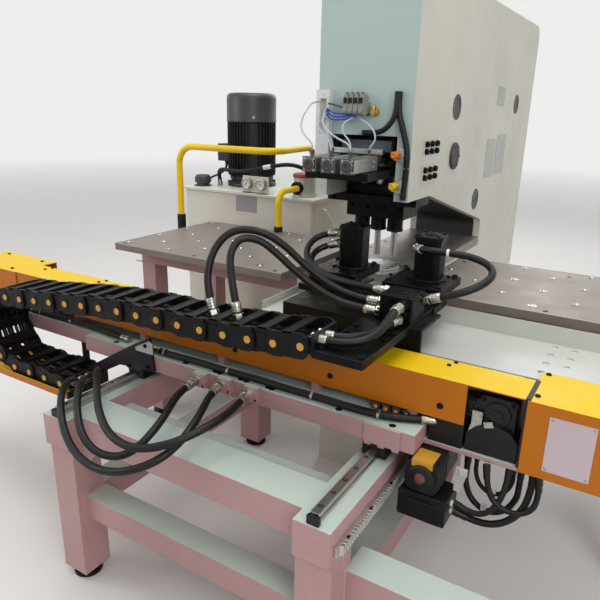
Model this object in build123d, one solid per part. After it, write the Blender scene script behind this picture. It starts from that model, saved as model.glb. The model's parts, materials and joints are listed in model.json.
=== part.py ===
from build123d import *
import math
import os

# Hydraulic punching machine. A C-frame press with three punches stands behind a sheet
# positioner: a long beam that moves to and fro on a welded base, and a carriage with two
# clamps that runs along the beam. Ball tables flank the press, and an oil unit feeds it.
# Millimetres. +X runs right along the beam, +Y to the back, +Z up. The origin is on the
# floor, in the middle of the footprint.

# Overall
footprint_x = 2765
footprint_y = 2830
machine_height = 1950
working_height = 900
run_gap = 0.3
front_y = -footprint_y / 2
back_y = footprint_y / 2

# C-frame
frame_x = 180
frame_width = 365
head_front_y = -420
jaw_front_y = -330
head_bottom = 1189
head_flat = 225
throat_back_y = 590
throat_slope_z = working_height + 87
throat_radius = 40
head_corner_radius = 70
throat_plate = 40
jaw_top = working_height - throat_plate
frame_left = frame_x - frame_width / 2
frame_right = frame_x + frame_width / 2
pocket_width = 261
pocket_back_y = -140
pocket_top = 1410
anchor_tab = 70
anchor_tab_length = 110
anchor_tab_thickness = 30
anchor_hole_r = 14
anchor_ys = (400, 1350)

# Punch station
punch_y = -240
punch_pitch = 70
punch_xs = [frame_x + k * punch_pitch for k in (-1, 0, 1)]
ram_stroke = 45
ram_rod_r = 50
ram_rod_top = 1540
ram_bore_depth = 150
ram_bottom = 1336
ram_top = 1400
ram_width = 216
ram_y = (-320, -150)
shank_r = 20
punch_head_r = 24
punch_head_height = 36
punch_tip_r = 12
punch_tip_z = 945
punch_step_z = 1060
selector_height = 25.4
selector_travel = 70
selector_width = 40
selector_y = (-290, -190)
selector_rod_r = 8
selector_rod_end = -565
guide_top = 1225
guide_step = 1165
guide_bottom = 1100
sleeve_bottom = 1050
sleeve_r = 30
guide_width = 238
guide_front_y = -285
guide_flange = 29
guide_flange_y = (-330, -200)

# Air cylinders above the punches
cylinder_side = 50
cylinder_y = (-671, -495)
cylinder_z = 1297
bracket_plate = 25
bracket_cheek = 10
bracket_front_y = -615
bracket_cheek_front_y = -415
bracket_cheek_bottom = 1281

# Die and throat table
die_holder_top = working_height - 8
die_r = 92
die_top = working_height + 5
die_bore_r = 12.5
throat_slot_width = 240
throat_slot_back_y = -145

# Ball tables
table_thickness = 30
table_length = 894.5
table_y = (-574, 104)
right_table_front_y = -480
table_gap = 57.5
ball_flange_r = 14
ball_flange = 1.5
ball_r = 9
ball_proud = 5
ball_pitch_x = 121.5
ball_pitch_y = 99
ball_inset_x = 36
ball_inset_y = 36

# Table supports
support_tube = 80
support_rail = 60
support_y = (-440, 80)
support_tie_y = (-300, -240)
leg_foot_z = 30

# Base of the positioner
base_tube = 100
base_top = 600
rail_centres = (-316, 578)
front_leg_y = (-1400, -1300)
rear_leg_y = (-430, -330)
cross_front_y = (-1369, -1249)
ledge_depth = 90
lower_bar_top = 318
lower_bar_height = 80
lower_bar_y = (-1369, -1290)
outrigger_x = 1000
outrigger_z = (340, 440)
outrigger_y = (-1330, -1230)
gusset_size = 90
foot_r = 45
foot_thickness = 12
stud_r = 12

# Cross rails and rack
y_rail_width = 23
y_rail_height = 28
y_rail_y = (-1400, -500)
gear_module = 4
pinion_teeth = 18
pinion_y = -950
rack_z = (530, 556)
rack_y = (-1400, -700)
rack_depth = 20
pressure_angle = math.radians(20)
tooth_backlash = 0.3

# Beam
beam_bottom = 650
beam_top = 705
ledge_front_y = -1087
narrow_ledge_y = -1048
beam_front_y = -1018
beam_back_y = -888
beam_left_x = -1041
beam_right_x = 690
ledge_left_x = -560
cap_right_x = 935
end_x = footprint_x / 2
sheet = 3
cap_sheet = 4
cover_top = 847.5
cover_front_bottom = 733
cover_front_y = -1014
cover_opening_x = (790, 930)
cap_bottom = 652
cap_back_y = -823
back_plate_y = (-935, -920)
back_plate_top = 840
floor_plate = 12
post_width = 26
post_xs = (-1000, -700, -350, 0, 350, 650)
cap_block_xs = (-1330, -1090, 990, 1320)
cap_block = 30

# X guide and belt drive
x_rail_zs = (728, 822)
x_rail_height = 20
x_rail_depth = 21
x_rail_x = (-1030, 932)
runner_half = 18
runner_length = 90
belt_z = 775
pulley_r = 20
pulley_teeth = 20
belt_thickness = 2.7
belt_width = 26
belt_y = -902
drive_x = 865
idler_x = -1000
pulley_shaft_r = 12

# Drip tray
tray_x = (7, 1380)
tray_floor_z = 833
tray_front_y = -852
tray_step_y = -822
tray_back_y = -560
tray_flange_z = 891
tray_arm_foot_y = (-800, -770)
drain_r = 9
drain_sets = ((925.6, (-592, -662, -730, -799)), (980, (-594, -664, -729)),
              (65, (-592, -662, -732)), (118, (-592, -662, -732)))
bracket_xs = (100, 500, 900)
bracket_width = 12

# Carriage
plate_z = 904
plate_thickness = 22
neck_x = (445, 585)
neck_front_y = -1202
bar_x = (105, 590)
bar_y = (-715, -600)
apron_x = (150, 612)
apron_y = (-880, -868)
apron_bottom = 710
manifold_x = (484, 584)
manifold_y = (-892, -790)
manifold_height = 74

# Clamps
clamp_xs = (222, 500)
clamp_y = -532
clamp_front_y = -470
clamp_back_y = -655
clamp_width = 110
clamp_plate_xs = ((112, 290), (388, 588))
clamp_plate_front_y = -455
clamp_arm_z = (940, 965)
clamp_jaw_z = (906, 914)
clamp_half = 44
clamp_corner_r = 20
clamp_collar = 12
clamp_cylinder_top = 1113
piston_r = 18
piston_z = (922, 1040)
piston_stroke = 7.5

# Cable chain
link_pitch = 85
chain_height = 68
chain_y = (-1210, -1056)
side_thickness = 8
crossbar_width = 34
crossbar_thickness = 7
pin_r = 9
loop_links = 5
loop_r = loop_links * link_pitch / math.pi
loop_x = -816
loop_z = 698
lower_links = 3
top_links = 15
chain_end_x = 437
chain_end_z = 930
link_reach = 21
comb_plate = 8
comb_y = (-1193, -1073)
comb_height = 44
chain_tray_x = (-1360, -515)
chain_tray_y = (-1222, -1044)
chain_tray_floor = 522
chain_tray_wall = 24
bracket_plate_y = (-1099, -1087)

# Oil unit
tank_x = (-1260, -400)
tank_y = (240, 800)
tank_z = (120, 1050)
tank_corner_r = 15
tank_lid = 12
tank_lid_rim = 14
tank_leg = 60
motor_xy = (-1000, 540)
motor_flange_r = 175
motor_flange = 20
motor_body_r = 150
motor_fin_r = 172
motor_fins = 30
fin_thickness = 5
motor_body_top = 1415
motor_cowl_top = 1570
terminal_x = (-1275, -1181)
terminal_z = (1180, 1290)
terminal_depth = 100
filler_xy = (-1200, 330)
filler_r = 45
filler_height = 65
gauge_panel_x = (-855, -685)
gauge_panel_z = (1050, 1140)
gauge_xs = (-815, -723)
gauge_r = 31
gauge_y = 255
filter_xy = (-505, 330)
filter_r = 55
filter_top = 1150
filter_cap_r = 62
filter_cap = 22
manifold_block_x = (-560, -440)
manifold_block_y = (480, 600)
manifold_block_top = 1180
tube_r = 16

# Hoses and cables
hose_dia = 22
fitting_r = 13
cable_dia = 22
conduit_dia = 22
air_line_dia = 14


def block(x, y, z):
    """Box between three pairs of limits."""
    size = Box(x[1] - x[0], y[1] - y[0], z[1] - z[0])
    return Pos(sum(x) / 2, sum(y) / 2, sum(z) / 2) * size


def rod_x(r, x, y, z):
    return Pos(sum(x) / 2, y, z) * Rot(0, 90, 0) * Cylinder(r, x[1] - x[0])


def rod_y(r, x, y, z):
    return Pos(x, sum(y) / 2, z) * Rot(90, 0, 0) * Cylinder(r, y[1] - y[0])


def rod_z(r, x, y, z):
    return Pos(x, y, sum(z) / 2) * Cylinder(r, z[1] - z[0])


def outline(points, radii=None):
    """Closed flat face, with one corner radius for each point if given."""
    if radii is None:
        return Polygon(*points, align=None)
    return make_face(FilletPolyline(*points, radius=list(radii), close=True))


def plate_yz(face, x):
    """Face drawn in Y and Z, between two X limits."""
    return Pos(x[0], 0, 0) * extrude(Plane.YZ * face, x[1] - x[0], dir=(1, 0, 0))


def plate_xz(face, y):
    """Face drawn in X and Z, between two Y limits."""
    return Pos(0, y[0], 0) * extrude(Plane.XZ * face, y[1] - y[0], dir=(0, 1, 0))


def plate_xy(face, z):
    """Face drawn in X and Y, between two Z limits."""
    return Pos(0, 0, z[0]) * extrude(face, z[1] - z[0], dir=(0, 0, 1))


def group(*shapes):
    """Separate solids of one node."""
    solids = [s for shape in shapes for s in shape.solids()]
    return Compound(children=solids)


def save(name, shape):
    export_step(shape, f"parts/{name}.step")


def corner_radii(points):
    """Arc radius at each inner corner: 0.45 of the shorter run over the tangent of half the turn."""
    radii = []
    for a, b, c in zip(points, points[1:], points[2:]):
        before = Vector(*b) - Vector(*a)
        after = Vector(*c) - Vector(*b)
        half_turn = math.radians(before.get_angle(after)) / 2
        radii.append(0.45 * min(before.length, after.length) / math.tan(half_turn))
    return radii


def tube(points, dia, radii=None):
    """Round tube along straight runs joined by arcs."""
    radii = corner_radii(points) if radii is None else radii
    path = FilletPolyline(*points, radius=radii)
    section = Plane(origin=path @ 0, z_dir=path % 0) * Circle(dia / 2)
    return sweep(section, path=path), path


def hose(name, points, dia):
    """Free hose in a node of its own, with its radii and volume printed."""
    solid, path = tube(points, dia)
    share = solid.volume / (math.pi * dia ** 2 / 4 * path.length)
    shown = " ".join(f"{r:.0f}" for r in corner_radii(points))
    print(f"{name}: length {path.length:.0f}, volume share {share:.4f}, radii {shown}")
    save(name, solid)


# C-frame


def make_c_frame():
    flat_y = head_front_y + head_flat
    profile = outline(
        [(jaw_front_y, 0), (back_y, 0), (back_y, machine_height),
         (head_front_y, machine_height), (head_front_y, head_bottom), (flat_y, head_bottom),
         (throat_back_y, throat_slope_z), (throat_back_y, jaw_top), (jaw_front_y, jaw_top)],
        [0, 0, head_corner_radius, head_corner_radius, 0, 0, throat_radius, 0, 0])
    frame = plate_yz(profile, (frame_left, frame_right))
    half = pocket_width / 2
    frame -= block((frame_x - half, frame_x + half), (head_front_y - 1, pocket_back_y),
                   (guide_step, pocket_top))
    frame -= rod_z(ram_rod_r + run_gap, frame_x, punch_y,
                   (pocket_top - 1, pocket_top + ram_bore_depth))
    for y in anchor_ys:
        span = (y - anchor_tab_length / 2, y + anchor_tab_length / 2)
        thickness = (0, anchor_tab_thickness)
        frame += block((frame_left - anchor_tab, frame_right + anchor_tab), span, thickness)
        for x in (frame_left - anchor_tab / 2, frame_right + anchor_tab / 2):
            frame -= rod_z(anchor_hole_r, x, y, (-1, anchor_tab_thickness + 1))
    return frame


plug_r = 48.5
plug_proud = 2.5
plug_places = ((38, 1512), (442, 1104), (1046, 1536))
flange_r = 53.5
flange_proud = 9
flange_place = (54, 1323)
flange_bolts = 6
cap_screw_r = 11
cap_screw_proud = 12
screw_ys = (-278, -225, -172)
screw_zs = (1382, 1356, 1290, 1263)


def make_side_covers():
    """Plugs, bearing covers and frame bolts on both flanks."""
    solids = []
    for face, out in ((frame_right, 1), (frame_left, -1)):
        def proud(depth):
            return (face, face + depth) if out > 0 else (face - depth, face)
        solids += [rod_x(plug_r, proud(plug_proud), y, z) for y, z in plug_places]
        y, z = flange_place
        cover = rod_x(flange_r, proud(flange_proud), y, z)
        for k in range(flange_bolts):
            turn = 2 * math.pi * k / flange_bolts
            cover += rod_x(4, proud(flange_proud + 4), y + 42 * math.cos(turn),
                           z + 42 * math.sin(turn))
        solids.append(cover)
        solids += [rod_x(cap_screw_r, proud(cap_screw_proud), y, z) for y in screw_ys for z in screw_zs]
    return group(*solids)


def make_throat_table():
    table = block((frame_left, frame_right), (jaw_front_y - 10, throat_back_y),
                  (jaw_top, working_height))
    half = throat_slot_width / 2
    return table - block((frame_x - half, frame_x + half), (jaw_front_y - 11, throat_slot_back_y),
                         (jaw_top - 1, working_height + 1))


def make_die_set():
    """Die holder in the table slot, and the round die with its three bores."""
    half = throat_slot_width / 2 - run_gap
    holder = block((frame_x - half, frame_x + half),
                   (jaw_front_y - 10, throat_slot_back_y - run_gap), (jaw_top, die_holder_top))
    die = rod_z(die_r, frame_x, punch_y, (die_holder_top, die_top))
    die = chamfer(die.edges().group_by(Axis.Z)[-1], 2)
    for x in punch_xs:
        bore = rod_z(die_bore_r, x, punch_y, (jaw_top - 1, die_top + 1))
        holder -= bore
        die -= bore
    return group(holder, die)


# Punch station


def make_punch_guide():
    back = pocket_back_y
    half = guide_width / 2
    guide = block((frame_x - half, frame_x + half), (guide_front_y, back), (guide_bottom, guide_top))
    guide += block((frame_left, frame_right), guide_flange_y, (head_bottom - guide_flange, head_bottom))
    for x in punch_xs:
        guide += rod_z(sleeve_r, x, punch_y, (sleeve_bottom, guide_bottom))
    for x in punch_xs:
        guide -= rod_z(shank_r + run_gap, x, punch_y, (sleeve_bottom - 1, guide_top + 1))
    return guide


def make_ram():
    half = ram_width / 2
    body = block((frame_x - half, frame_x + half), ram_y, (ram_bottom, ram_top))
    body = chamfer(body.edges().filter_by(Axis.Z), 8)
    return body + rod_z(ram_rod_r, frame_x, punch_y, (ram_top, ram_rod_top))


selector_bottom = ram_bottom - run_gap - selector_height
punch_head_top = selector_bottom - run_gap
punch_head_z = punch_head_top - punch_head_height
selector_mid = selector_bottom + selector_height / 2


def make_punches():
    """Turned punches: a working tip, a shank and a collar under the selector bar."""
    profile = outline([(0, punch_tip_z), (punch_tip_r, punch_tip_z), (punch_tip_r, punch_step_z - 20),
                       (shank_r, punch_step_z), (shank_r, punch_head_z), (punch_head_r, punch_head_z),
                       (punch_head_r, punch_head_top), (0, punch_head_top)])
    punch = revolve(Plane.XZ * profile, axis=Axis.Z)
    return group(*[Pos(x, punch_y, 0) * punch for x in punch_xs])


def make_selector(x):
    """Bar that a cylinder slides between the ram and one punch."""
    half = selector_width / 2
    bar = block((x - half, x + half), selector_y, (selector_bottom, selector_bottom + selector_height))
    bar = chamfer(bar.edges().filter_by(Axis.Z), 5)
    return bar + rod_y(selector_rod_r, x, (selector_rod_end, selector_y[0]), selector_mid)


cylinder_top = cylinder_z + cylinder_side


def make_cylinder_bracket():
    """Plate under the air cylinders, hung from the ram by two cheeks."""
    half = ram_width / 2
    inner = (frame_x - half, frame_x + half)
    outer = (inner[0] - bracket_cheek, inner[1] + bracket_cheek)
    plate = block(outer, (bracket_front_y, ram_y[0] - 2), (cylinder_z - bracket_plate, cylinder_z))
    for x in ((outer[0], inner[0]), (inner[1], outer[1])):
        plate += block(x, (bracket_cheek_front_y, ram_y[1] - 10), (bracket_cheek_bottom, ram_top))
    return plate


def make_air_cylinders():
    """Square air cylinders with grooved sides, round front covers and blind bores for the rods."""
    solids = []
    half = cylinder_side / 2
    mid = cylinder_z + half
    groove_y = (cylinder_y[0] + 30, cylinder_y[1] - 25)
    for x in punch_xs:
        barrel = block((x - half, x + half), cylinder_y, (cylinder_z, cylinder_top))
        barrel = chamfer(barrel.edges().filter_by(Axis.Y), 4)
        for k in (-9, 9):
            barrel -= block((x + k - 3, x + k + 3), groove_y, (cylinder_top - 3, cylinder_top + 1))
            barrel -= block((x - half - 1, x - half + 3), groove_y, (mid + k - 3, mid + k + 3))
            barrel -= block((x + half - 3, x + half + 1), groove_y, (mid + k - 3, mid + k + 3))
        barrel += rod_y(21, x, (cylinder_y[0] - 6, cylinder_y[0]), mid)
        barrel -= rod_y(selector_rod_r + run_gap, x, (selector_rod_end - selector_travel - 20,
                                                      cylinder_y[1] + 1), selector_mid)
        solids.append(barrel)
    return group(*solids)


# Ball tables


def table_limits(side):
    """X limits of the left (-1) or right (1) table."""
    if side < 0:
        inner = frame_left - table_gap
        return inner - table_length, inner
    inner = frame_right + table_gap
    return inner, inner + table_length


def table_front(side):
    return table_y[0] if side < 0 else right_table_front_y


def make_table(side):
    plate = block(table_limits(side), (table_front(side), table_y[1]),
                  (working_height - table_thickness, working_height))
    return chamfer(plate.edges().group_by(Axis.Z)[-1], 1.5)


def ball_unit():
    """Flange and ball dome of one ball transfer unit, standing on z = 0."""
    centre_z = ball_proud - ball_r
    rim = math.sqrt(ball_r ** 2 - (ball_flange - centre_z) ** 2)
    dome = Line((0, ball_proud), (0, 0)) + Line((0, 0), (ball_flange_r, 0))
    dome += Line((ball_flange_r, 0), (ball_flange_r, ball_flange))
    dome += Line((ball_flange_r, ball_flange), (rim, ball_flange))
    half = (math.asin(rim / ball_r)) / 2
    dome += ThreePointArc((rim, ball_flange),
                          (ball_r * math.sin(half), centre_z + ball_r * math.cos(half)),
                          (0, ball_proud))
    return revolve(Plane.XZ * make_face(dome), axis=Axis.Z)


def make_ball_units():
    """Ball transfer units in staggered rows on both tables."""
    unit = ball_unit()
    solids = []
    for side in (-1, 1):
        x_in, x_out = table_limits(side)
        front = table_front(side)
        rows = int((table_y[1] - ball_inset_y - front - ball_inset_y) / ball_pitch_y) + 1
        columns = int((table_length - 2 * ball_inset_x) / ball_pitch_x) + 1
        for row in range(rows):
            for column in range(columns):
                if (row + column) % 2 == 0:
                    x = x_in + ball_inset_x + column * ball_pitch_x
                    y = table_y[1] - ball_inset_y - row * ball_pitch_y
                    solids.append(Pos(x, y, working_height) * unit)
    return group(*solids)


def make_table_supports():
    """Welded tube frames under the tables, tied to the flanks of the press."""
    top = working_height - table_thickness
    z = (top - support_tube, top)
    solids = []
    for side in (-1, 1):
        x_in, x_out = table_limits(side)
        inset = 25
        if side < 0:
            ends = (x_in + inset, x_out)
            leg = (ends[0], ends[0] + support_tube)
            inner = (x_out - support_tube, x_out)
            tie = (ends[0], frame_left)
        else:
            ends = (x_in, x_out - inset)
            leg = (ends[1] - support_tube, ends[1])
            inner = (x_in, x_in + support_tube)
            tie = (frame_right, ends[1])
        front = (support_y[0], support_y[0] + support_rail)
        rear = (support_y[1] - support_rail, support_y[1])
        frame = block(ends, front, z) + block(tie, rear, z)
        frame += block(tie, support_tie_y, z)
        frame += block(leg, (front[0], rear[1]), z) + block(inner, (front[0], rear[1]), z)
        frame += block(leg, (front[0], front[0] + support_tube), (leg_foot_z, z[0]))
        frame += block(leg, (rear[1] - support_tube, rear[1]), (leg_foot_z, z[0]))
        frame += block(leg, (front[0], rear[1]), (leg_foot_z + 120, leg_foot_z + 180))
        solids.append(frame)
    return group(*solids)


# Base of the positioner


def member_x(centre):
    return centre - base_tube / 2, centre + base_tube / 2


left_member = member_x(rail_centres[0])
right_member = member_x(rail_centres[1])


def make_base_frame():
    z = (base_top - base_tube, base_top)
    between = (left_member[1], right_member[0])
    frame = None
    for member in (left_member, right_member):
        rail = block(member, (front_y, rear_leg_y[1]), z)
        frame = rail if frame is None else frame + rail
        for y in (front_leg_y, rear_leg_y):
            frame += block(member, y, (leg_foot_z, z[0]))
    frame += block(between, cross_front_y, (z[0] + 10, base_top))
    frame += block(between, (cross_front_y[1], cross_front_y[1] + ledge_depth),
                   (base_top - 58, base_top - 46))
    frame += block(between, rear_leg_y, z)
    lower = (lower_bar_top - lower_bar_height, lower_bar_top)
    frame += block(between, lower_bar_y, lower)
    for member in (left_member, right_member):
        frame += block((member[0] + 10, member[1] - 10), (front_leg_y[1], rear_leg_y[0]), lower)
    gusset = outline([(left_member[1], z[0] + 10), (left_member[1] + gusset_size, z[0] + 10),
                      (left_member[1], z[0] + 10 - gusset_size)])
    frame += plate_xz(gusset, (front_leg_y[0] + 31, front_leg_y[0] + 43))
    frame += block((right_member[1], outrigger_x), outrigger_y, outrigger_z)
    frame += block((outrigger_x - base_tube, outrigger_x), outrigger_y, (leg_foot_z, outrigger_z[0]))
    return frame


def foot(x, y):
    """Levelling foot: pad and stud under a leg that ends above the floor."""
    return rod_z(foot_r, x, y, (0, foot_thickness)) + rod_z(stud_r, x, y, (foot_thickness, leg_foot_z))


def make_levelling_feet():
    places = [(x, sum(y) / 2) for x in rail_centres for y in (front_leg_y, rear_leg_y)]
    places.append((outrigger_x - base_tube / 2, sum(outrigger_y) / 2))
    for side in (-1, 1):
        x_in, x_out = table_limits(side)
        x = x_in + 25 + support_tube / 2 if side < 0 else x_out - 25 - support_tube / 2
        places += [(x, support_y[0] + support_tube / 2), (x, support_y[1] - support_tube / 2)]
    half = tank_leg / 2
    places += [(x, y) for x in (tank_x[0] + half + 20, tank_x[1] - half - 20)
               for y in (tank_y[0] + half + 20, tank_y[1] - half - 20)]
    return group(*[foot(x, y) for x, y in places])


rack_face = right_member[1]
rack_tip_x = rack_face + rack_depth
pitch_line_x = rack_tip_x - gear_module
pinion_r = gear_module * pinion_teeth / 2
pinion_x = pitch_line_x + pinion_r
tooth_pitch = math.pi * gear_module


def rack_outline():
    """Rack teeth seen from above, with a tooth space in the middle of the pinion."""
    root_x = pitch_line_x - 1.25 * gear_module
    half_pitch = tooth_pitch / 4 - tooth_backlash / 2
    tip_half = half_pitch - gear_module * math.tan(pressure_angle)
    root_half = half_pitch + 1.25 * gear_module * math.tan(pressure_angle)
    points = [(rack_face, rack_y[0]), (root_x, rack_y[0])]
    first = math.ceil((rack_y[0] - pinion_y) / tooth_pitch)
    last = math.floor((rack_y[1] - pinion_y) / tooth_pitch)
    for k in range(first, last):
        y = pinion_y + (k + 0.5) * tooth_pitch
        points += [(root_x, y - root_half), (rack_tip_x, y - tip_half),
                   (rack_tip_x, y + tip_half), (root_x, y + root_half)]
    points += [(root_x, rack_y[1]), (rack_face, rack_y[1])]
    return outline(points)


def make_y_rails():
    """Two cross rails with their bolt holes, and the rack on the right member."""
    solids = [plate_xy(rack_outline(), rack_z)]
    for x in rail_centres:
        half = y_rail_width / 2
        top = base_top + y_rail_height
        profile = outline([(x - half, base_top), (x + half, base_top), (x + half, base_top + 9),
                           (x + half - 3, base_top + 13), (x + half, base_top + 17), (x + half, top),
                           (x - half, top), (x - half, base_top + 17), (x - half + 3, base_top + 13),
                           (x - half, base_top + 9)])
        solids.append(plate_xz(profile, y_rail_y))
    return group(*solids)


def involute_gear(teeth, module, backlash):
    """Spur gear outline from the involute of its base circle."""
    pitch_r = module * teeth / 2
    base_r = pitch_r * math.cos(pressure_angle)
    tip_r = pitch_r + module
    root_r = pitch_r - 1.25 * module
    half_tooth = math.pi / (2 * teeth) - backlash / (2 * pitch_r)

    def involute(r):
        angle = math.acos(min(1, base_r / r))
        return math.tan(angle) - angle

    radii = [max(base_r, root_r) + (tip_r - max(base_r, root_r)) * k / 4 for k in range(5)]
    flank = [(r, half_tooth + involute(pitch_r) - involute(r)) for r in radii]
    points = []
    for tooth in range(teeth):
        middle = 2 * math.pi * tooth / teeth
        one = [(root_r, middle - flank[0][1])] + [(r, middle - a) for r, a in flank]
        other = [(r, middle + a) for r, a in reversed(flank)] + [(root_r, middle + flank[0][1])]
        points += [(r * math.cos(a), r * math.sin(a)) for r, a in one + other]
    return outline(points)


drive_bore_z = (rack_z[1], 600)


def make_y_pinion():
    """Spur pinion with its shaft. A tooth points at the rack."""
    gear = Rot(0, 0, 180) * involute_gear(pinion_teeth, gear_module, tooth_backlash)
    pinion = plate_xy(gear, rack_z)
    pinion += rod_z(pulley_shaft_r, 0, 0, drive_bore_z)
    return Pos(pinion_x, pinion_y, 0) * pinion


# Beam


def make_x_beam():
    """Box beam with a front ledge, a back plate, posts for the sheet cover and cap blocks."""
    box = block((beam_left_x, beam_right_x), (beam_front_y, beam_back_y), (beam_bottom, beam_top))
    box += block((ledge_left_x, beam_right_x), (ledge_front_y, beam_front_y), (beam_bottom, beam_top))
    box += block((beam_left_x, ledge_left_x), (narrow_ledge_y, beam_front_y), (beam_bottom, beam_top))
    floor = (beam_bottom, beam_bottom + floor_plate)
    inside = end_x - cap_sheet - 10
    box += block((beam_right_x, inside), (cover_front_y, beam_back_y), floor)
    box += block((-inside, beam_left_x), (cover_front_y, beam_back_y), floor)
    box += block((-inside, inside), back_plate_y, (floor[1], back_plate_top))
    for x in post_xs:
        box += block((x - post_width / 2, x + post_width / 2),
                     (cover_front_y + sheet, cover_front_y + sheet + post_width),
                     (beam_top, cover_top - sheet))
    for x in cap_block_xs:
        box += block((x - cap_block / 2, x + cap_block / 2), (cover_front_y, back_plate_y[0]),
                     (back_plate_top - 40, cover_top - cap_sheet))
    for x in (drive_x, idler_x):
        box -= rod_y(pulley_shaft_r + run_gap, x, (back_plate_y[0] - 1, back_plate_y[1] + 1), belt_z)
    for points in lower_hose_points:
        x, y, z = points[-1]
        box += rod_y(fitting_r, x, (y, ledge_front_y + 5), z)
    return group(box, *[tray_bracket(x) for x in bracket_xs])


def tray_bracket(x):
    """Cranked arm that carries the drip tray and leaves room for the carriage apron."""
    face = outline([(beam_back_y, beam_bottom + 14), (beam_back_y, beam_top - 5), (tray_front_y + 2, beam_top - 5),
                    (tray_front_y + 2, tray_floor_z), (tray_back_y - 5, tray_floor_z),
                    (tray_back_y - 5, tray_floor_z - 18), (tray_arm_foot_y[1], beam_top - 5),
                    (tray_arm_foot_y[0], beam_bottom + 14)])
    return plate_yz(face, (x - bracket_width / 2, x + bracket_width / 2))


def make_beam_cover():
    """Folded sheet over the beam, cut away in front of the drive."""
    top = block((beam_left_x, cover_opening_x[1]), (cover_front_y, beam_back_y),
                (cover_top - sheet, cover_top))
    front = block((beam_left_x, cover_opening_x[0]), (cover_front_y, cover_front_y + sheet),
                  (cover_front_bottom, cover_top))
    return top + front


def make_end_cap(side):
    """Folded cap over one end of the beam, open below and towards the beam."""
    inner = cap_right_x if side > 0 else beam_left_x
    x = (inner, end_x) if side > 0 else (-end_x, inner)
    shell = block(x, (beam_front_y, cap_back_y), (cap_bottom, cover_top))
    hollow = (x[0] - 1, x[1] - cap_sheet) if side > 0 else (x[0] + cap_sheet, x[1] + 1)
    return shell - block(hollow, (beam_front_y + cap_sheet, cap_back_y - cap_sheet),
                         (cap_bottom - 1, cover_top - cap_sheet))


def make_x_rails():
    solids = []
    for z in x_rail_zs:
        half = x_rail_height / 2
        face = back_plate_y[1]
        profile = outline([(face, z - half), (face + x_rail_depth, z - half),
                           (face + x_rail_depth, z + half), (face, z + half)])
        solids.append(plate_yz(profile, x_rail_x))
    return group(*solids)


def make_y_runner_blocks():
    """Runner blocks under the beam, two on each cross rail."""
    solids = []
    half = y_rail_width / 2 + run_gap
    for x in rail_centres:
        for start in (ledge_front_y + 6, beam_back_y - 97):
            body = block((x - 35, x + 35), (start, start + runner_length), (base_top + 5, beam_bottom))
            slot = block((x - half, x + half), (start - 1, start + runner_length + 1),
                         (base_top, base_top + y_rail_height + run_gap))
            solids.append(body - slot)
    return group(*solids)


def make_drip_tray():
    """Sheet tray behind the beam, with drain holes, a back flange and a left wall."""
    floor = outline([(tray_x[0], tray_front_y), (cap_right_x - 2, tray_front_y), (cap_right_x - 2, tray_step_y),
                     (tray_x[1], tray_step_y), (tray_x[1], tray_back_y), (tray_x[0], tray_back_y)])
    tray = plate_xy(floor, (tray_floor_z, tray_floor_z + sheet))
    tray += block(tray_x, (tray_back_y - sheet, tray_back_y), (tray_floor_z, tray_flange_z))
    tray += block((tray_x[0], tray_x[0] + sheet), (tray_front_y + 60, tray_back_y),
                  (tray_floor_z, tray_floor_z + 30))
    for x, ys in drain_sets:
        for y in ys:
            tray -= rod_z(drain_r, x, y, (tray_floor_z - 1, tray_floor_z + sheet + 1))
    return tray


def make_chain_tray():
    """Folded channel that the lower run of the chain lies in."""
    floor = (chain_tray_floor, chain_tray_floor + sheet)
    wall = (chain_tray_floor, chain_tray_floor + chain_tray_wall)
    tray = block(chain_tray_x, chain_tray_y, floor)
    tray += block(chain_tray_x, (chain_tray_y[0], chain_tray_y[0] + sheet), wall)
    return tray + block(chain_tray_x, (chain_tray_y[1] - sheet, chain_tray_y[1]), wall)


def make_chain_brackets():
    """Triangular plate and two arms that hang the chain tray from the beam."""
    face = outline([(-230, 770), (-215, beam_bottom + 5), (-375, base_top + 42),
                    (chain_tray_x[1] - 30, chain_tray_floor + chain_tray_wall),
                    (chain_tray_x[1] - 30, 590), (-300, 735)])
    plate = plate_xz(face, bracket_plate_y)
    plate += block((chain_tray_x[1], chain_tray_x[1] + 8), (chain_tray_y[0], chain_tray_y[1]),
                   (chain_tray_floor, chain_tray_floor + chain_tray_wall))
    plate += block((chain_tray_x[1], chain_tray_x[1] + 8), (bracket_plate_y[0], chain_tray_y[1]),
                   (chain_tray_floor, 600))
    comb_x = loop_x + lower_links * link_pitch + link_reach + run_gap
    run_z = loop_z - loop_r
    plate += block((comb_x, comb_x + comb_plate), comb_y, (run_z - comb_height / 2, run_z + comb_height / 2))
    plate += block((comb_x, chain_tray_x[1]), (bracket_plate_y[0], comb_y[1]),
                   (run_z - comb_height / 2, run_z + comb_height / 2))
    solids = [plate]
    for x in (-1000, -640):
        solids.append(block((x, x + 10), (chain_tray_y[1], beam_front_y - 2),
                            (chain_tray_floor, beam_bottom)))
    return group(*solids)


gearbox_x = (drive_x - 45, drive_x + 45)


def make_x_drive():
    """Angle gearbox behind the opening of the cover, with its servo motor under the cover."""
    y = (back_plate_y[0] - 56, back_plate_y[0])
    box = block(gearbox_x, y, (belt_z - 45, belt_z + 45))
    box = chamfer(box.edges().filter_by(Axis.Y), 6)
    mid = sum(y) / 2
    motor = block((gearbox_x[0] - 150, gearbox_x[0]), (mid - 26, mid + 26), (belt_z - 28, belt_z + 28))
    motor = chamfer(motor.edges().filter_by(Axis.X), 8)
    flange = block((gearbox_x[0] - 8, gearbox_x[0]), (mid - 28, mid + 28), (belt_z - 32, belt_z + 32))
    plug = block((gearbox_x[0] - 130, gearbox_x[0] - 100), (mid - 10, mid + 10), (belt_z + 28, belt_z + 46))
    junction = block((700, 790), (cover_front_y + 4, back_plate_y[0] - 8), (beam_bottom + floor_plate, 735))
    return group(box + flange + motor + plug, junction)


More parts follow.
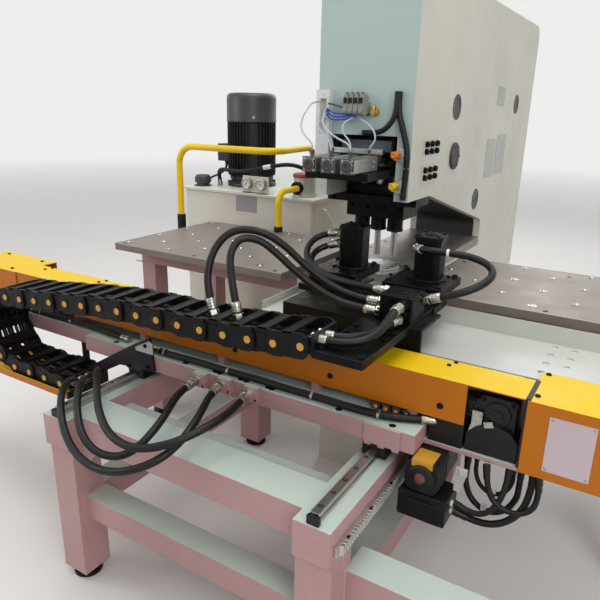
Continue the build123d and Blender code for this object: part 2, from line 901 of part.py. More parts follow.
def belt_loop(r):
    """Outline of a belt at the given radius round both pulleys."""
    length = drive_x - idler_x
    return Pos((drive_x + idler_x) / 2, belt_z) * SlotCenterToCenter(length, 2 * r)


belt_inner_r = pulley_r + run_gap
belt_outer_r = belt_inner_r + belt_thickness


def make_x_belt():
    span = (belt_y - belt_width / 2, belt_y + belt_width / 2)
    return plate_xz(belt_loop(belt_outer_r) - belt_loop(belt_inner_r), span)


def make_pulley(x):
    """Toothed belt pulley with two flanges and its shaft."""
    span = (belt_y - belt_width / 2, belt_y + belt_width / 2)
    wheel = rod_y(pulley_r, 0, span, 0)
    for k in range(pulley_teeth):
        groove = block((pulley_r - 1.8, pulley_r + 1), (span[0] - 1, span[1] + 1), (-1.3, 1.3))
        wheel -= Rot(0, 360 * k / pulley_teeth, 0) * groove
    for y in ((span[0] - 2, span[0] - run_gap), (span[1] + run_gap, span[1] + 2)):
        wheel += rod_y(pulley_r - 3, 0, (min(y) - 0.5, max(y) + 0.5), 0)
        wheel += rod_y(pulley_r + 4, 0, y, 0)
    wheel += rod_y(pulley_shaft_r, 0, (back_plate_y[0] + run_gap, span[1] + 3), 0)
    return Pos(x, 0, belt_z) * wheel


drive_case_y = (-1010, -910)
servo_y = (-1100, -1010)
servo_x = (pinion_x - 4, pinion_x + 86)
servo_z = (558, 646)
amplifier_x = (pinion_x - 20, pinion_x + 110)
amplifier_y = (-1095, -1000)
amplifier_z = (470, 548)


def make_y_drive():
    """Gear case under the beam, with a servo motor in front and its amplifier box below."""
    case = block((pinion_x - 30, pinion_x + 80), drive_case_y, (rack_z[1] + 9, beam_bottom))
    case -= rod_z(pulley_shaft_r + run_gap, pinion_x, pinion_y, (rack_z[1], drive_bore_z[1] + 1))
    servo = block(servo_x, (servo_y[0], drive_case_y[0]), servo_z)
    servo = fillet(servo.edges().filter_by(Axis.Y), 24)
    servo += rod_y(36, sum(servo_x) / 2, (servo_y[0] - 8, servo_y[0]), sum(servo_z) / 2)
    box = block(amplifier_x, amplifier_y, amplifier_z)
    box = fillet(box.edges().filter_by(Axis.Y), 6)
    neck = block((servo_x[0] + 30, servo_x[1] - 20), (servo_y[0] + 30, drive_case_y[0] - 5),
                 (amplifier_z[1], servo_z[0] + 5))
    return case + servo + neck + box


# Cable chain


def chain_curve():
    """Centre line of the upper run, from the carriage down to the loop."""
    return Spline((chain_end_x - link_reach, chain_end_z), (84, 903), (-305, 889), (-778, loop_z + loop_r + 3),
                  (loop_x, loop_z + loop_r))


def link(index, a, b):
    """One chain link between two joint points in X and Z, with crossbars top and bottom."""
    (ax, az), (bx, bz) = a, b
    length = math.hypot(bx - ax, bz - az)
    half = chain_height / 2
    reach = link_reach
    cut = half * 0.45
    side = outline([(-reach, -half + cut), (-reach + cut, -half), (length + reach - cut, -half),
                    (length + reach, -half + cut), (length + reach, half - cut),
                    (length + reach - cut, half), (-reach + cut, half), (-reach, half - cut)])
    outer = index % 2 == 0
    inset = 0 if outer else side_thickness
    y = (chain_y[0] + inset, chain_y[1] - inset)
    plates = plate_xz(side, (y[0], y[0] + side_thickness))
    plates += plate_xz(side, (y[1] - side_thickness, y[1]))
    bars_x = (length / 2 - crossbar_width / 2, length / 2 + crossbar_width / 2)
    inner_y = (y[0] + side_thickness, y[1] - side_thickness)
    for z in ((half - crossbar_thickness, half), (-half, -half + crossbar_thickness)):
        plates += block(bars_x, inner_y, z)
    if outer:
        for x in (0, length):
            plates += rod_y(pin_r, x, (y[0] - 3, y[0]), 0)
    angle = math.degrees(math.atan2(bz - az, bx - ax))
    return Pos(ax, 0, az) * Rot(0, -angle, 0) * plates


def make_links(points, first):
    return group(*[link(first + k, a, b) for k, (a, b) in enumerate(zip(points, points[1:]))])


def chain_points():
    """Joint points of the whole chain: upper run, loop and lower run."""
    curve = chain_curve()
    top = [curve.position_at(k / top_links) for k in range(top_links + 1)]
    top = [(p.X, p.Y) for p in top]
    loop = []
    for k in range(loop_links + 1):
        turn = math.pi / 2 + math.pi * k / loop_links
        loop.append((loop_x + loop_r * math.cos(turn), loop_z + loop_r * math.sin(turn)))
    lower = [(loop_x + k * link_pitch, loop_z - loop_r) for k in range(lower_links + 1)]
    return top, loop, lower


# Carriage


def make_carriage_plate():
    """Top plate with its neck over the beam, the clamp bar, the apron behind the beam and
    the belt grip."""
    z = (plate_z, plate_z + plate_thickness)
    plate = block(neck_x, (neck_front_y, bar_y[0]), z) + block(bar_x, bar_y, z)
    plate += block((chain_end_x + run_gap, neck_x[0]), comb_y, (z[0], z[1] + comb_height - 10))
    for points in chain_hose_points:
        _, y, height = points[0]
        plate -= rod_x(hose_dia / 2 - 2, (chain_end_x, neck_x[0] + 1), y, height)
    plate += block(apron_x, apron_y, (apron_bottom, plate_z))
    plate += block(apron_x, (apron_y[0], bar_y[0]), (plate_z, plate_z + 8))
    grip_y = (belt_y - belt_width / 2 - 2, apron_y[0])
    strand = belt_z + (belt_inner_r + belt_outer_r) / 2
    grip = block((350, 410), grip_y, (strand - 8, strand + 6))
    grip -= block((349, 411), (belt_y - belt_width / 2 - run_gap, belt_y + belt_width / 2 + run_gap),
                  (belt_z + belt_inner_r - run_gap, belt_z + belt_outer_r + run_gap))
    return plate + grip


def make_x_runner_blocks():
    """Runner blocks on the apron, two on each rail."""
    solids = []
    face = back_plate_y[1]
    for z in x_rail_zs:
        half = x_rail_height / 2 + run_gap
        for start in (apron_x[0] + 10, apron_x[1] - 10 - runner_length):
            x = (start, start + runner_length)
            body = block(x, (face + 4, apron_y[0]), (z - runner_half, z + runner_half))
            solids.append(body - block((x[0] - 1, x[1] + 1), (face, face + x_rail_depth + run_gap),
                                       (z - half, z + half)))
    return group(*solids)


def make_hose_manifold():
    """Distribution block on the neck, with the fittings of its hoses."""
    base = plate_z + plate_thickness
    body = block(manifold_x, manifold_y, (base, base + manifold_height))
    body = chamfer(body.edges().filter_by(Axis.Z), 4)
    for points in clamp_hose_points[:2] + loop_hose_points:
        x, y, z = points[-1]
        body += rod_x(fitting_r, (x, manifold_x[0] + 5), y, z)
    x, y, z = clamp_hose_points[2][-1]
    body += rod_x(fitting_r, (manifold_x[1] - 5, x), y, z)
    for points in chain_hose_points:
        x, y, z = points[-1]
        body += rod_y(fitting_r, x, (y, manifold_y[0] + 5), z)
    return body


def elbow(centre, end, z):
    """Straight fitting from a cylinder's wall to the end of its hose."""
    dx, dy = end[0] - centre[0], end[1] - centre[1]
    length = math.hypot(dx, dy) - clamp_half + 6
    angle = math.degrees(math.atan2(dy, dx))
    fitting = rod_x(fitting_r, (clamp_half - 6, clamp_half - 6 + length), 0, 0)
    return Pos(centre[0], centre[1], z) * Rot(0, 0, angle) * fitting


def make_clamp_frames():
    """Two clamps: jaw under the sheet, arm over it and the oil cylinder on the arm."""
    solids = []
    bar_top = plate_z + plate_thickness
    half = clamp_half
    collar_z = clamp_cylinder_top - clamp_collar
    for x, plate in zip(clamp_xs, clamp_plate_xs):
        body = block(plate, (clamp_back_y, clamp_plate_front_y), clamp_arm_z)
        body += block(plate, (clamp_back_y, bar_y[1] - 5), (bar_top, clamp_arm_z[0]))
        tower = block((x - half, x + half), (clamp_y - half, clamp_y + half), (clamp_arm_z[1], collar_z))
        body += fillet(tower.edges().filter_by(Axis.Z), clamp_corner_r)
        rim = half + 3
        collar = block((x - rim, x + rim), (clamp_y - rim, clamp_y + rim), (collar_z, clamp_cylinder_top))
        collar = fillet(collar.edges().filter_by(Axis.Z), clamp_corner_r + 3)
        body += chamfer(collar.edges().group_by(Axis.Z)[-1], 3)
        for bolt_x in (plate[0] + 16, plate[1] - 16):
            for bolt_y in (clamp_back_y + 16, clamp_plate_front_y - 16):
                body += rod_z(8, bolt_x, bolt_y, (clamp_arm_z[1], clamp_arm_z[1] + 9))
        for points in clamp_hose_points:
            px, py, pz = points[0]
            if abs(px - x) < clamp_width and py > clamp_back_y:
                body += elbow((x, clamp_y), (px, py), pz)
        body -= rod_z(piston_r + run_gap, x, clamp_y, (clamp_arm_z[0] - 1, piston_z[1] + 20))
        jaw = block((x - clamp_width / 2, x + clamp_width / 2), (bar_y[1], clamp_front_y), clamp_jaw_z)
        solids += [body, jaw]
    return group(*solids)


def make_piston(x):
    rod = rod_z(piston_r, x, clamp_y, piston_z)
    return chamfer(rod.edges().group_by(Axis.Z)[0], 2)


# Oil unit


def make_oil_tank():
    """Tank with a lid flange on four short legs."""
    tank = block(tank_x, tank_y, (tank_z[0], tank_z[1] - tank_lid))
    tank = fillet(tank.edges().filter_by(Axis.Z), tank_corner_r)
    tank += block((tank_x[0] - tank_lid_rim, tank_x[1] + tank_lid_rim),
                  (tank_y[0] - tank_lid_rim, tank_y[1] + tank_lid_rim),
                  (tank_z[1] - tank_lid, tank_z[1]))
    for x in (tank_x[0] + 20, tank_x[1] - 20 - tank_leg):
        for y in (tank_y[0] + 20, tank_y[1] - 20 - tank_leg):
            tank += block((x, x + tank_leg), (y, y + tank_leg), (leg_foot_z, tank_z[0]))
    return tank


def make_pump_motor():
    """Upright electric motor: flange, finned body, cowl and terminal box."""
    x, y = motor_xy
    base = tank_z[1]
    motor = rod_z(motor_flange_r, x, y, (base, base + motor_flange))
    motor += rod_z(motor_body_r, x, y, (base + motor_flange, motor_body_top + 20))
    for k in range(motor_fins):
        fin = block((motor_body_r - 6, motor_fin_r), (-fin_thickness / 2, fin_thickness / 2),
                    (base + motor_flange + 40, motor_body_top))
        motor += Pos(x, y, 0) * Rot(0, 0, 360 * (k + 0.5) / motor_fins) * fin
    cowl = rod_z(motor_flange_r, x, y, (motor_body_top, motor_cowl_top))
    motor += fillet(cowl.edges().group_by(Axis.Z)[-1], 25)
    motor += block(terminal_x, (y - terminal_depth / 2, y + terminal_depth / 2), terminal_z)
    motor += block((terminal_x[1], x - motor_body_r + 10), (y - 35, y + 35),
                   (terminal_z[0] + 20, terminal_z[1] - 20))
    return motor


def make_tank_fittings():
    """Filler cap, gauge panel with two gauges and the return filter."""
    base = tank_z[1]
    cap = rod_z(filler_r - 8, *filler_xy, (base, base + 20))
    cap += rod_z(filler_r, *filler_xy, (base + 20, base + filler_height))
    panel = block(gauge_panel_x, (gauge_y, gauge_y + 6), (base, gauge_panel_z[1]))
    panel += block(gauge_panel_x, (gauge_y, gauge_y + 50), (base, base + 6))
    for x in gauge_xs:
        panel += rod_y(gauge_r, x, (gauge_y - 26, gauge_y), base + 50)
    housing = rod_z(filter_r, *filter_xy, (base, filter_top))
    housing += rod_z(filter_cap_r, *filter_xy, (filter_top, filter_top + filter_cap))
    return group(cap, panel, housing)


def make_valve_manifold():
    """Valve block on the tank with two solenoid valves on top."""
    x, y = manifold_block_x, manifold_block_y
    body = block(x, y, (tank_z[1], manifold_block_top))
    middle = sum(y) / 2
    for dy in (-30, 30):
        body += block((x[0] + 25, x[1] - 25), (middle + dy - 20, middle + dy + 20),
                      (manifold_block_top, manifold_block_top + 42))
        body += rod_x(17, (x[0] - 45, x[1] + 45), middle + dy, manifold_block_top + 21)
    return body


guard_stand_off = 86.5
guard_foot_y = -37
guard_top = 1299
guard_bracket_z = working_height - 38
guard_end = (tank_x[1] - 110, tank_y[0] + 190)
guard_bend_r = 90
guard_cross = 60
pipe_y = 80
pipe_top = tank_z[1] + 48


def make_guard_tubes():
    """Bent guard rail from the left table to the tank, and the oil return pipe."""
    x_in, _ = table_limits(-1)
    x, y = x_in - guard_stand_off, guard_foot_y
    end_x, end_y = guard_end
    rail, _ = tube([(x, y, guard_bracket_z), (x, y, guard_top), (end_x + guard_cross, y, guard_top),
                    (end_x, end_y, guard_top), (end_x, end_y, tank_z[1])],
                   2 * tube_r, [guard_bend_r] * 3)
    rail += rod_z(tube_r + 4, x, y, (guard_bracket_z, guard_bracket_z + 70))
    rail += block((x - 35, x_in + 25), (y - 35, y + 35), (guard_bracket_z - 10, guard_bracket_z))
    pipe_x = filter_xy[0]
    inlet_y = filter_xy[1] - filter_r
    pipe, _ = tube([(pipe_x, pipe_y, working_height), (pipe_x, pipe_y, pipe_top),
                    (pipe_x, inlet_y, pipe_top)], 2 * tube_r, [60])
    return group(rail, pipe)


# Fittings on the head


duct_x = (frame_left + 3, frame_x - ram_width / 2 - bracket_cheek - 7.5)
duct_depth = 25
duct_top = head_bottom + 371
duct_step = head_bottom + 72
duct_slot = 120
valve_bank_x = frame_x - 61
valve_bank_z = (pocket_top + 71, pocket_top + 129)
valve_width = 18
valve_gap = 2
valve_count = 4
valve_depth = 50
switch_zs = (head_bottom + 155, head_bottom + 53)
switch_half = 22
switch_x = frame_right - 30


def make_valve_bank():
    """Valves side by side on the head, with their caps and the spacers between them."""
    face = head_front_y
    bottom, top = valve_bank_z
    bank = None
    for k in range(valve_count):
        x = valve_bank_x + k * (valve_width + valve_gap)
        valve = block((x, x + valve_width), (face - valve_depth, face), (bottom, top))
        valve += block((x + 3, x + valve_width - 3), (face - valve_depth + 6, face - 10), (top, top + 13))
        if bank is None:
            bank = valve
        else:
            bank += block((x - valve_gap, x), (face - valve_depth + 10, face), (bottom + 5, top - 5))
            bank += valve
    return bank


def make_head_fittings():
    """Cable duct, valve bank, position switches and the cable down the front of the head."""
    face = head_front_y
    duct = block(duct_x, (face - duct_depth, face), (duct_step, duct_top))
    duct -= block((duct_x[0] + 15, duct_x[1] - 13), (face - duct_depth - 1, face - 4),
                  (duct_top - 30 - duct_slot, duct_top - 30))
    duct += block((duct_x[0] + 7, duct_x[1]), (face - duct_depth, face), (head_bottom + 3, duct_step))
    x = frame_x + 45
    z = valve_bank_z[0] + 7
    fitting = rod_y(14, x, (face - 34, face), z) + rod_z(9, x, face - 22, (z, z + 24))
    solids = [duct, make_valve_bank(), fitting]
    for z in switch_zs:
        switch = block((switch_x - 16, switch_x + 16), (face - 12, face), (z - switch_half, z + switch_half))
        switch += rod_y(14, switch_x - 5, (face - 40, face - 12), z)
        solids.append(switch)
    y = face - 12
    bottom = head_bottom + 10
    lower, _ = tube([(frame_right - 46.5, y, bottom + 298), (frame_right - 25.5, y, bottom + 231),
                     (frame_right - 6.5, y, bottom + 167), (frame_right - 10.5, y, bottom + 84),
                     (frame_right - 12.5, y, bottom)], cable_dia)
    return group(*solids, lower)


# Free hoses. Each list runs from one end fitting to the other.

clamp_hose_points = (
    [(158, -547, 1079), (112, -560, 1072), (86, -604, 1050), (98, -660, 1018), (150, -712, 995),
     (222, -752, 984), (308, -786, 983), (388, -804, 985), (458, -806, 985)],
    [(158, -547, 1040), (114, -558, 1028), (94, -606, 1006), (126, -672, 982), (205, -728, 962),
     (285, -775, 953), (366, -808, 950), (415, -824, 951), (462, -830, 952)],
    [(484, -612, 1079), (520, -650, 1086), (594, -640, 1086), (664, -622, 1079), (724, -644, 1067),
     (750, -704, 1052), (732, -768, 1034), (676, -804, 1008), (606, -806, 985)])
loop_hose_points = (
    [(71, -1130, 942), (48, -1122, 992), (36, -1108, 1044), (38, -1082, 1100), (60, -1050, 1145),
     (103, -1020, 1163), (156, -985, 1150), (203, -950, 1110), (240, -925, 1065), (290, -903, 1020),
     (350, -884, 985), (412, -868, 968), (465, -862, 966)],
    [(152, -1120, 944), (138, -1117, 995), (118, -1104, 1048), (96, -1080, 1098), (98, -1036, 1138),
     (144, -1000, 1132), (190, -974, 1090), (236, -952, 1042), (292, -930, 996),
     (352, -908, 962), (408, -890, 947), (465, -880, 943)])
chain_hose_points = (
    [(445, -1165, 942), (500, -1160, 942), (550, -1128, 948), (569, -1075, 960), (567, -1020, 974),
     (562, -980, 980), (560, -945, 981)],
    [(445, -1130, 942), (488, -1120, 941), (520, -1088, 941), (540, -1040, 943), (551, -990, 946),
     (556, -945, 947)])
lower_hose_points = (
    [(-531, -1147, 563), (-470, -1170, 590), (-400, -1225, 636), (-335, -1290, 668), (-270, -1355, 680),
     (-205, -1415, 655), (-145, -1452, 614), (-75, -1465, 590), (-5, -1452, 592), (38, -1425, 618),
     (52, -1380, 648), (40, -1320, 664), (12, -1255, 674), (-8, -1195, 682), (-12, -1142, 686)],
    [(-531, -1175, 563), (-485, -1196, 585), (-432, -1248, 628), (-374, -1316, 664), (-312, -1385, 668),
     (-245, -1440, 640), (-180, -1475, 600), (-95, -1497, 575), (-10, -1500, 574), (70, -1484, 594),
     (130, -1440, 622), (152, -1378, 650), (142, -1300, 676), (118, -1235, 688), (95, -1185, 692),
     (87, -1142, 694)],
    [(-531, -1119, 563), (-468, -1138, 596), (-385, -1185, 652), (-300, -1255, 698), (-210, -1335, 704),
     (-125, -1405, 676), (-35, -1448, 648), (60, -1458, 644), (145, -1425, 664), (200, -1355, 690),
     (216, -1280, 700), (207, -1210, 698), (188, -1142, 694)])
conduit_points = [(-240, -1062, 717), (-150, -1066, 718), (-50, -1060, 718), (60, -1064, 718),
                  (170, -1058, 718), (280, -1063, 718), (400, -1058, 718), (500, -1062, 718),
                  (580, -1056, 718), (640, -1035, 717), (700, -1004, 717)]


def main():
    os.makedirs("parts", exist_ok=True)
    save("c_frame", make_c_frame())
    save("side_covers", make_side_covers())
    save("throat_table", make_throat_table())
    save("die_set", make_die_set())
    save("punch_guide", make_punch_guide())
    save("ram", make_ram())
    save("punches", make_punches())
    for k, x in enumerate(punch_xs):
        save(f"selector_{k + 1}", make_selector(x))
    save("cylinder_bracket", make_cylinder_bracket())
    save("air_cylinders", make_air_cylinders())
    save("left_table", make_table(-1))
    save("right_table", make_table(1))
    save("ball_units", make_ball_units())
    save("table_supports", make_table_supports())
    save("base_frame", make_base_frame())
    save("levelling_feet", make_levelling_feet())
    save("y_rails", make_y_rails())
    save("y_pinion", make_y_pinion())
    save("x_beam", make_x_beam())
    save("beam_cover", make_beam_cover())
    save("end_cap_left", make_end_cap(-1))
    save("end_cap_right", make_end_cap(1))
    save("x_rails", make_x_rails())
    save("y_runner_blocks", make_y_runner_blocks())
    save("drip_tray", make_drip_tray())
    save("chain_tray", make_chain_tray())
    save("chain_brackets", make_chain_brackets())
    save("x_drive", make_x_drive())
    save("x_belt", make_x_belt())
    save("x_pulley", make_pulley(drive_x))
    save("x_idler", make_pulley(idler_x))
    save("y_drive", make_y_drive())
    top, loop, lower = chain_points()
    save("chain_top", make_links(top, 0))
    save("chain_loop", make_links(loop, top_links))
    save("chain_lower", make_links(lower, top_links + loop_links))
    save("carriage_plate", make_carriage_plate())
    save("x_runner_blocks", make_x_runner_blocks())
    save("hose_manifold", make_hose_manifold())
    save("clamp_frames", make_clamp_frames())
    save("clamp_piston_left", make_piston(clamp_xs[0]))
    save("clamp_piston_right", make_piston(clamp_xs[1]))
    save("oil_tank", make_oil_tank())
    save("pump_motor", make_pump_motor())
    save("tank_fittings", make_tank_fittings())
    save("valve_manifold", make_valve_manifold())
    save("guard_tubes", make_guard_tubes())
    save("head_fittings", make_head_fittings())
    for k, points in enumerate(clamp_hose_points):
        hose(f"clamp_hose_{k + 1}", points, hose_dia)
    for k, points in enumerate(loop_hose_points):
        hose(f"loop_hose_{k + 1}", points, hose_dia)
    for k, points in enumerate(chain_hose_points):
        hose(f"chain_hose_{k + 1}", points, hose_dia)
    for k, points in enumerate(lower_hose_points):
        hose(f"lower_hose_{k + 1}", points, hose_dia)
    hose("conduit", conduit_points, conduit_dia)


main()
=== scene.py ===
import itertools
import json
import math

import bmesh
import bpy
from mathutils import Matrix, Vector


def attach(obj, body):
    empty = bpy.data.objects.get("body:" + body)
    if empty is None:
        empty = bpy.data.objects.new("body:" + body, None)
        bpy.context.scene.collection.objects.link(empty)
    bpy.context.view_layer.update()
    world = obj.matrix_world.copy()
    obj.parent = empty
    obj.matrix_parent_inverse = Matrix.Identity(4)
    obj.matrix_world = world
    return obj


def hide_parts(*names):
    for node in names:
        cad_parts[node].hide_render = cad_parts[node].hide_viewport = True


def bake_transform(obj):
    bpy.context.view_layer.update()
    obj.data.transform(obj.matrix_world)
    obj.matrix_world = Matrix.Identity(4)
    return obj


# Looks of the hydraulic punching machine, in metres, in the frame of the CAD model:
# +X right along the beam, +Y to the back of the press, +Z up, floor at 0.

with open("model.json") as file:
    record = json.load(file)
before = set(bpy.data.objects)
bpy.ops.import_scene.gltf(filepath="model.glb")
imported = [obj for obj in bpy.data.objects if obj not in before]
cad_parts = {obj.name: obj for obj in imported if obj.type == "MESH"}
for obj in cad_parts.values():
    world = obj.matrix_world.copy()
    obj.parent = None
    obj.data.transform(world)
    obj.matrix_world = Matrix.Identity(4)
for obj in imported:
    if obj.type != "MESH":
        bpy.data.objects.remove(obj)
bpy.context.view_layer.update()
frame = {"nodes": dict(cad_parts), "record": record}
nodes = frame["nodes"]

# Camera

camera_place = Vector((1.1275, -2.392, 1.500))
camera_azimuth = math.radians(31.17)
camera_pitch = math.radians(17.95)
camera_roll = math.radians(1.22)
camera_lens = 35.75


def make_camera():
    """Camera at the photo's place, with its slight roll."""
    cos_a, sin_a = math.cos(camera_azimuth), math.sin(camera_azimuth)
    cos_p, sin_p = math.cos(camera_pitch), math.sin(camera_pitch)
    forward = Vector((-sin_a * cos_p, cos_a * cos_p, -sin_p))
    right = Vector((cos_a, sin_a, 0))
    up = right.cross(forward)
    cos_r, sin_r = math.cos(camera_roll), math.sin(camera_roll)
    rolled_right = right * cos_r + up * sin_r
    rolled_up = up * cos_r - right * sin_r
    data = bpy.data.cameras.new("camera")
    data.lens = camera_lens
    data.sensor_width = 36
    data.clip_end = 200
    camera = bpy.data.objects.new("camera", data)
    turn = Matrix((rolled_right, rolled_up, -forward)).transposed()
    camera.matrix_world = Matrix.Translation(camera_place) @ turn.to_4x4()
    bpy.context.scene.collection.objects.link(camera)
    bpy.context.scene.camera = camera


# Materials


def linear(colour):
    """Linear colour from screen values between 0 and 255."""
    shares = [c / 255 for c in colour]
    return tuple(s / 12.92 if s < 0.04045 else ((s + 0.055) / 1.055) ** 2.4 for s in shares) + (1,)


looks = {}


class Tree:
    """Node tree of one look, with its Principled shader."""

    def __init__(self, name):
        self.material = bpy.data.materials.new(name)
        self.material.use_nodes = True
        looks[name] = self.material
        self.tree = self.material.node_tree
        self.shader = self.tree.nodes["Principled BSDF"]
        self.place = self.add("ShaderNodeTexCoord").outputs["Object"]

    def add(self, kind, **settings):
        node = self.tree.nodes.new(kind)
        for key, value in settings.items():
            setattr(node, key, value)
        return node

    def join(self, source, target):
        self.tree.links.new(source, target)

    def stretched(self, stretch):
        mapping = self.add("ShaderNodeMapping")
        mapping.inputs["Scale"].default_value = stretch
        self.join(self.place, mapping.inputs["Vector"])
        return mapping.outputs["Vector"]

    def noise(self, scale, detail=3, stretch=(1, 1, 1)):
        texture = self.add("ShaderNodeTexNoise")
        texture.inputs["Scale"].default_value = scale
        texture.inputs["Detail"].default_value = detail
        self.join(self.stretched(stretch), texture.inputs["Vector"])
        return texture.outputs["Fac"]

    def ramp(self, value, low, high, start=0.0, end=1.0):
        """Value stretched so that low gives start and high gives end."""
        ranged = self.add("ShaderNodeMapRange")
        ranged.inputs["From Min"].default_value = low
        ranged.inputs["From Max"].default_value = high
        ranged.inputs["To Min"].default_value = start
        ranged.inputs["To Max"].default_value = end
        self.join(value, ranged.inputs["Value"])
        return ranged.outputs["Result"]

    def math(self, operation, first, second):
        node = self.add("ShaderNodeMath", operation=operation)
        for socket, value in zip(node.inputs, (first, second)):
            if isinstance(value, (int, float)):
                socket.default_value = value
            else:
                self.join(value, socket)
        return node.outputs[0]

    def mix(self, share, first, second):
        node = self.add("ShaderNodeMix", data_type="RGBA")
        self.join(share, node.inputs["Factor"])
        for socket, value in ((node.inputs[6], first), (node.inputs[7], second)):
            if isinstance(value, tuple):
                socket.default_value = value
            else:
                self.join(value, socket)
        return node.outputs[2]

    def rounded(self, radius):
        """Normal that rounds the edges, and a mask that is 1 on them."""
        bevel = self.add("ShaderNodeBevel", samples=6)
        bevel.inputs["Radius"].default_value = radius
        geometry = self.add("ShaderNodeNewGeometry")
        dot = self.add("ShaderNodeVectorMath", operation="DOT_PRODUCT")
        self.join(bevel.outputs["Normal"], dot.inputs[0])
        self.join(geometry.outputs["Normal"], dot.inputs[1])
        edge = self.ramp(dot.outputs["Value"], 0.99, 0.86)
        return bevel.outputs["Normal"], edge

    def along(self, source, axis):
        """One part of a vector, such as its Z."""
        parts = self.add("ShaderNodeSeparateXYZ")
        self.join(source, parts.inputs["Vector"])
        return parts.outputs[axis]

    def facing(self, axis, low, high):
        """1 on faces that look along an axis, 0 on the others."""
        geometry = self.add("ShaderNodeNewGeometry")
        return self.ramp(self.along(geometry.outputs["Normal"], axis), low, high)

    def bump(self, height, strength, distance, normal=None):
        bump = self.add("ShaderNodeBump")
        bump.inputs["Strength"].default_value = strength
        bump.inputs["Distance"].default_value = distance
        self.join(height, bump.inputs["Height"])
        if normal is not None:
            self.join(normal, bump.inputs["Normal"])
        self.join(bump.outputs["Normal"], self.shader.inputs["Normal"])

    def colour(self, value):
        if isinstance(value, tuple):
            self.shader.inputs["Base Color"].default_value = value
        else:
            self.join(value, self.shader.inputs["Base Color"])

    def rough(self, value):
        if isinstance(value, (int, float)):
            self.shader.inputs["Roughness"].default_value = value
        else:
            self.join(value, self.shader.inputs["Roughness"])


def painted(name, colour, shade, chipped, roughness=0.38, coat=0.0, top=None, front=None, throat_shade_colour=None,
            dirt=0.35, gloss=0.5):
    """Enamel with orange peel, soft patches of handling dirt and edges that are a little worn.
    Other colours may be given as painted light: a painted lit colour on the faces that look up,
    a painted tint on the head's front and painted shade in the frame's throat."""
    tree = Tree(name)
    normal, edge = tree.rounded(0.002)
    patches = tree.ramp(tree.noise(2.3, 4), 0.38, 0.72)
    fine = tree.ramp(tree.noise(38, 5), 0.45, 0.8, 0, dirt)
    dirt_and_painted_light = tree.mix(tree.math("MAXIMUM", patches, fine), linear(colour), linear(shade))
    # Painted light: a painted lit colour on the faces that look up.
    if top:
        dirt_and_painted_light = tree.mix(tree.facing("Z", 0.6, 0.8), dirt_and_painted_light, linear(top))
    # Painted light: a painted tint on the faces of the head's front.
    if front:
        head = tree.ramp(tree.along(tree.place, "Z"), 1.05, 1.1)
        dirt_and_painted_light = tree.mix(tree.math("MULTIPLY", head, tree.facing("Y", -0.6, -0.8)), dirt_and_painted_light, linear(front))
    # Painted shade in the frame's throat, between its side plates.
    if throat_shade_colour:
        dirt_and_painted_light = tree.mix(throat_shade_mask(tree), dirt_and_painted_light, linear(throat_shade_colour))
    broken = tree.ramp(tree.noise(55, 4), 0.42, 0.6, 0, 0.5)
    tree.colour(tree.mix(tree.math("MULTIPLY", edge, broken), dirt_and_painted_light, linear(chipped)))
    tree.rough(tree.ramp(tree.noise(14, 4), 0.3, 0.7, roughness - 0.06, roughness + 0.1))
    tree.shader.inputs["Coat Weight"].default_value = coat
    tree.shader.inputs["Coat Roughness"].default_value = 0.12
    tree.shader.inputs["Specular IOR Level"].default_value = gloss
    tree.bump(tree.noise(420, 2), 0.08, 0.0006, normal)


def throat_shade_mask(tree):
    """1 where the throat's painted shade goes: on the underside and the deep front faces
    of the frame, between its two side plates.
    """
    off_middle = tree.math("ABSOLUTE", tree.math("SUBTRACT", tree.along(tree.place, "X"), 0.18), 0.0)
    inner = tree.ramp(off_middle, 0.152, 0.149)
    deep = tree.math("MULTIPLY", tree.facing("Y", -0.6, -0.8),
                     tree.ramp(tree.along(tree.place, "Y"), -0.1, -0.05))
    return tree.math("MULTIPLY", inner, tree.math("MAXIMUM", tree.facing("Z", -0.3, -0.6), deep))


def ground_steel(name, colour, shade, roughness, stretch, metallic=1.0, stain=0.5, lines=0.4):
    """Ground or machined steel: fine lay lines along one direction, with stains and scratches."""
    tree = Tree(name)
    normal, edge = tree.rounded(0.0012)
    lay = tree.noise(240, 3, stretch)
    stains = tree.ramp(tree.noise(5, 6), 0.45, 0.75, 0, stain)
    scored = tree.ramp(lay, 0.35, 0.75, 0, lines)
    body = tree.mix(tree.math("MAXIMUM", stains, scored), linear(colour), linear(shade))
    bright = tuple(min(255, c + 45) for c in colour)
    tree.colour(tree.mix(tree.math("MULTIPLY", edge, 0.6), body, linear(bright)))
    tree.shader.inputs["Metallic"].default_value = metallic
    tree.rough(tree.ramp(tree.noise(9, 5), 0.25, 0.75, roughness - 0.08, roughness + 0.12))
    tree.bump(lay, 0.1, 0.0002, normal)


def polished(name, colour, roughness):
    """Polished or plated metal with faint smears."""
    tree = Tree(name)
    smears = tree.noise(90, 4)
    dark = tuple(c * 0.82 for c in colour)
    tree.colour(tree.mix(tree.ramp(smears, 0.4, 0.75), linear(colour), linear(dark)))
    tree.shader.inputs["Metallic"].default_value = 1.0
    tree.rough(tree.ramp(smears, 0.3, 0.7, roughness, roughness + 0.12))
    tree.bump(smears, 0.05, 0.0002)


def dark_metal(name, colour, worn, roughness=0.42, metallic=0.7, gloss=0.5):
    """Blackened steel: oil sheen, rubbed bright on its edges."""
    tree = Tree(name)
    normal, edge = tree.rounded(0.0012)
    bloom = tree.ramp(tree.noise(24, 5), 0.4, 0.75, 0, 0.5)
    tint = tuple(c + 18 for c in colour)
    body = tree.mix(bloom, linear(colour), linear(tint))
    tree.colour(tree.mix(tree.math("MULTIPLY", edge, 0.5), body, linear(worn)))
    tree.shader.inputs["Metallic"].default_value = metallic
    tree.shader.inputs["Specular IOR Level"].default_value = gloss
    tree.rough(tree.ramp(tree.noise(40, 4), 0.3, 0.7, roughness - 0.1, roughness + 0.12))
    tree.bump(tree.noise(300, 3), 0.1, 0.0003, normal)


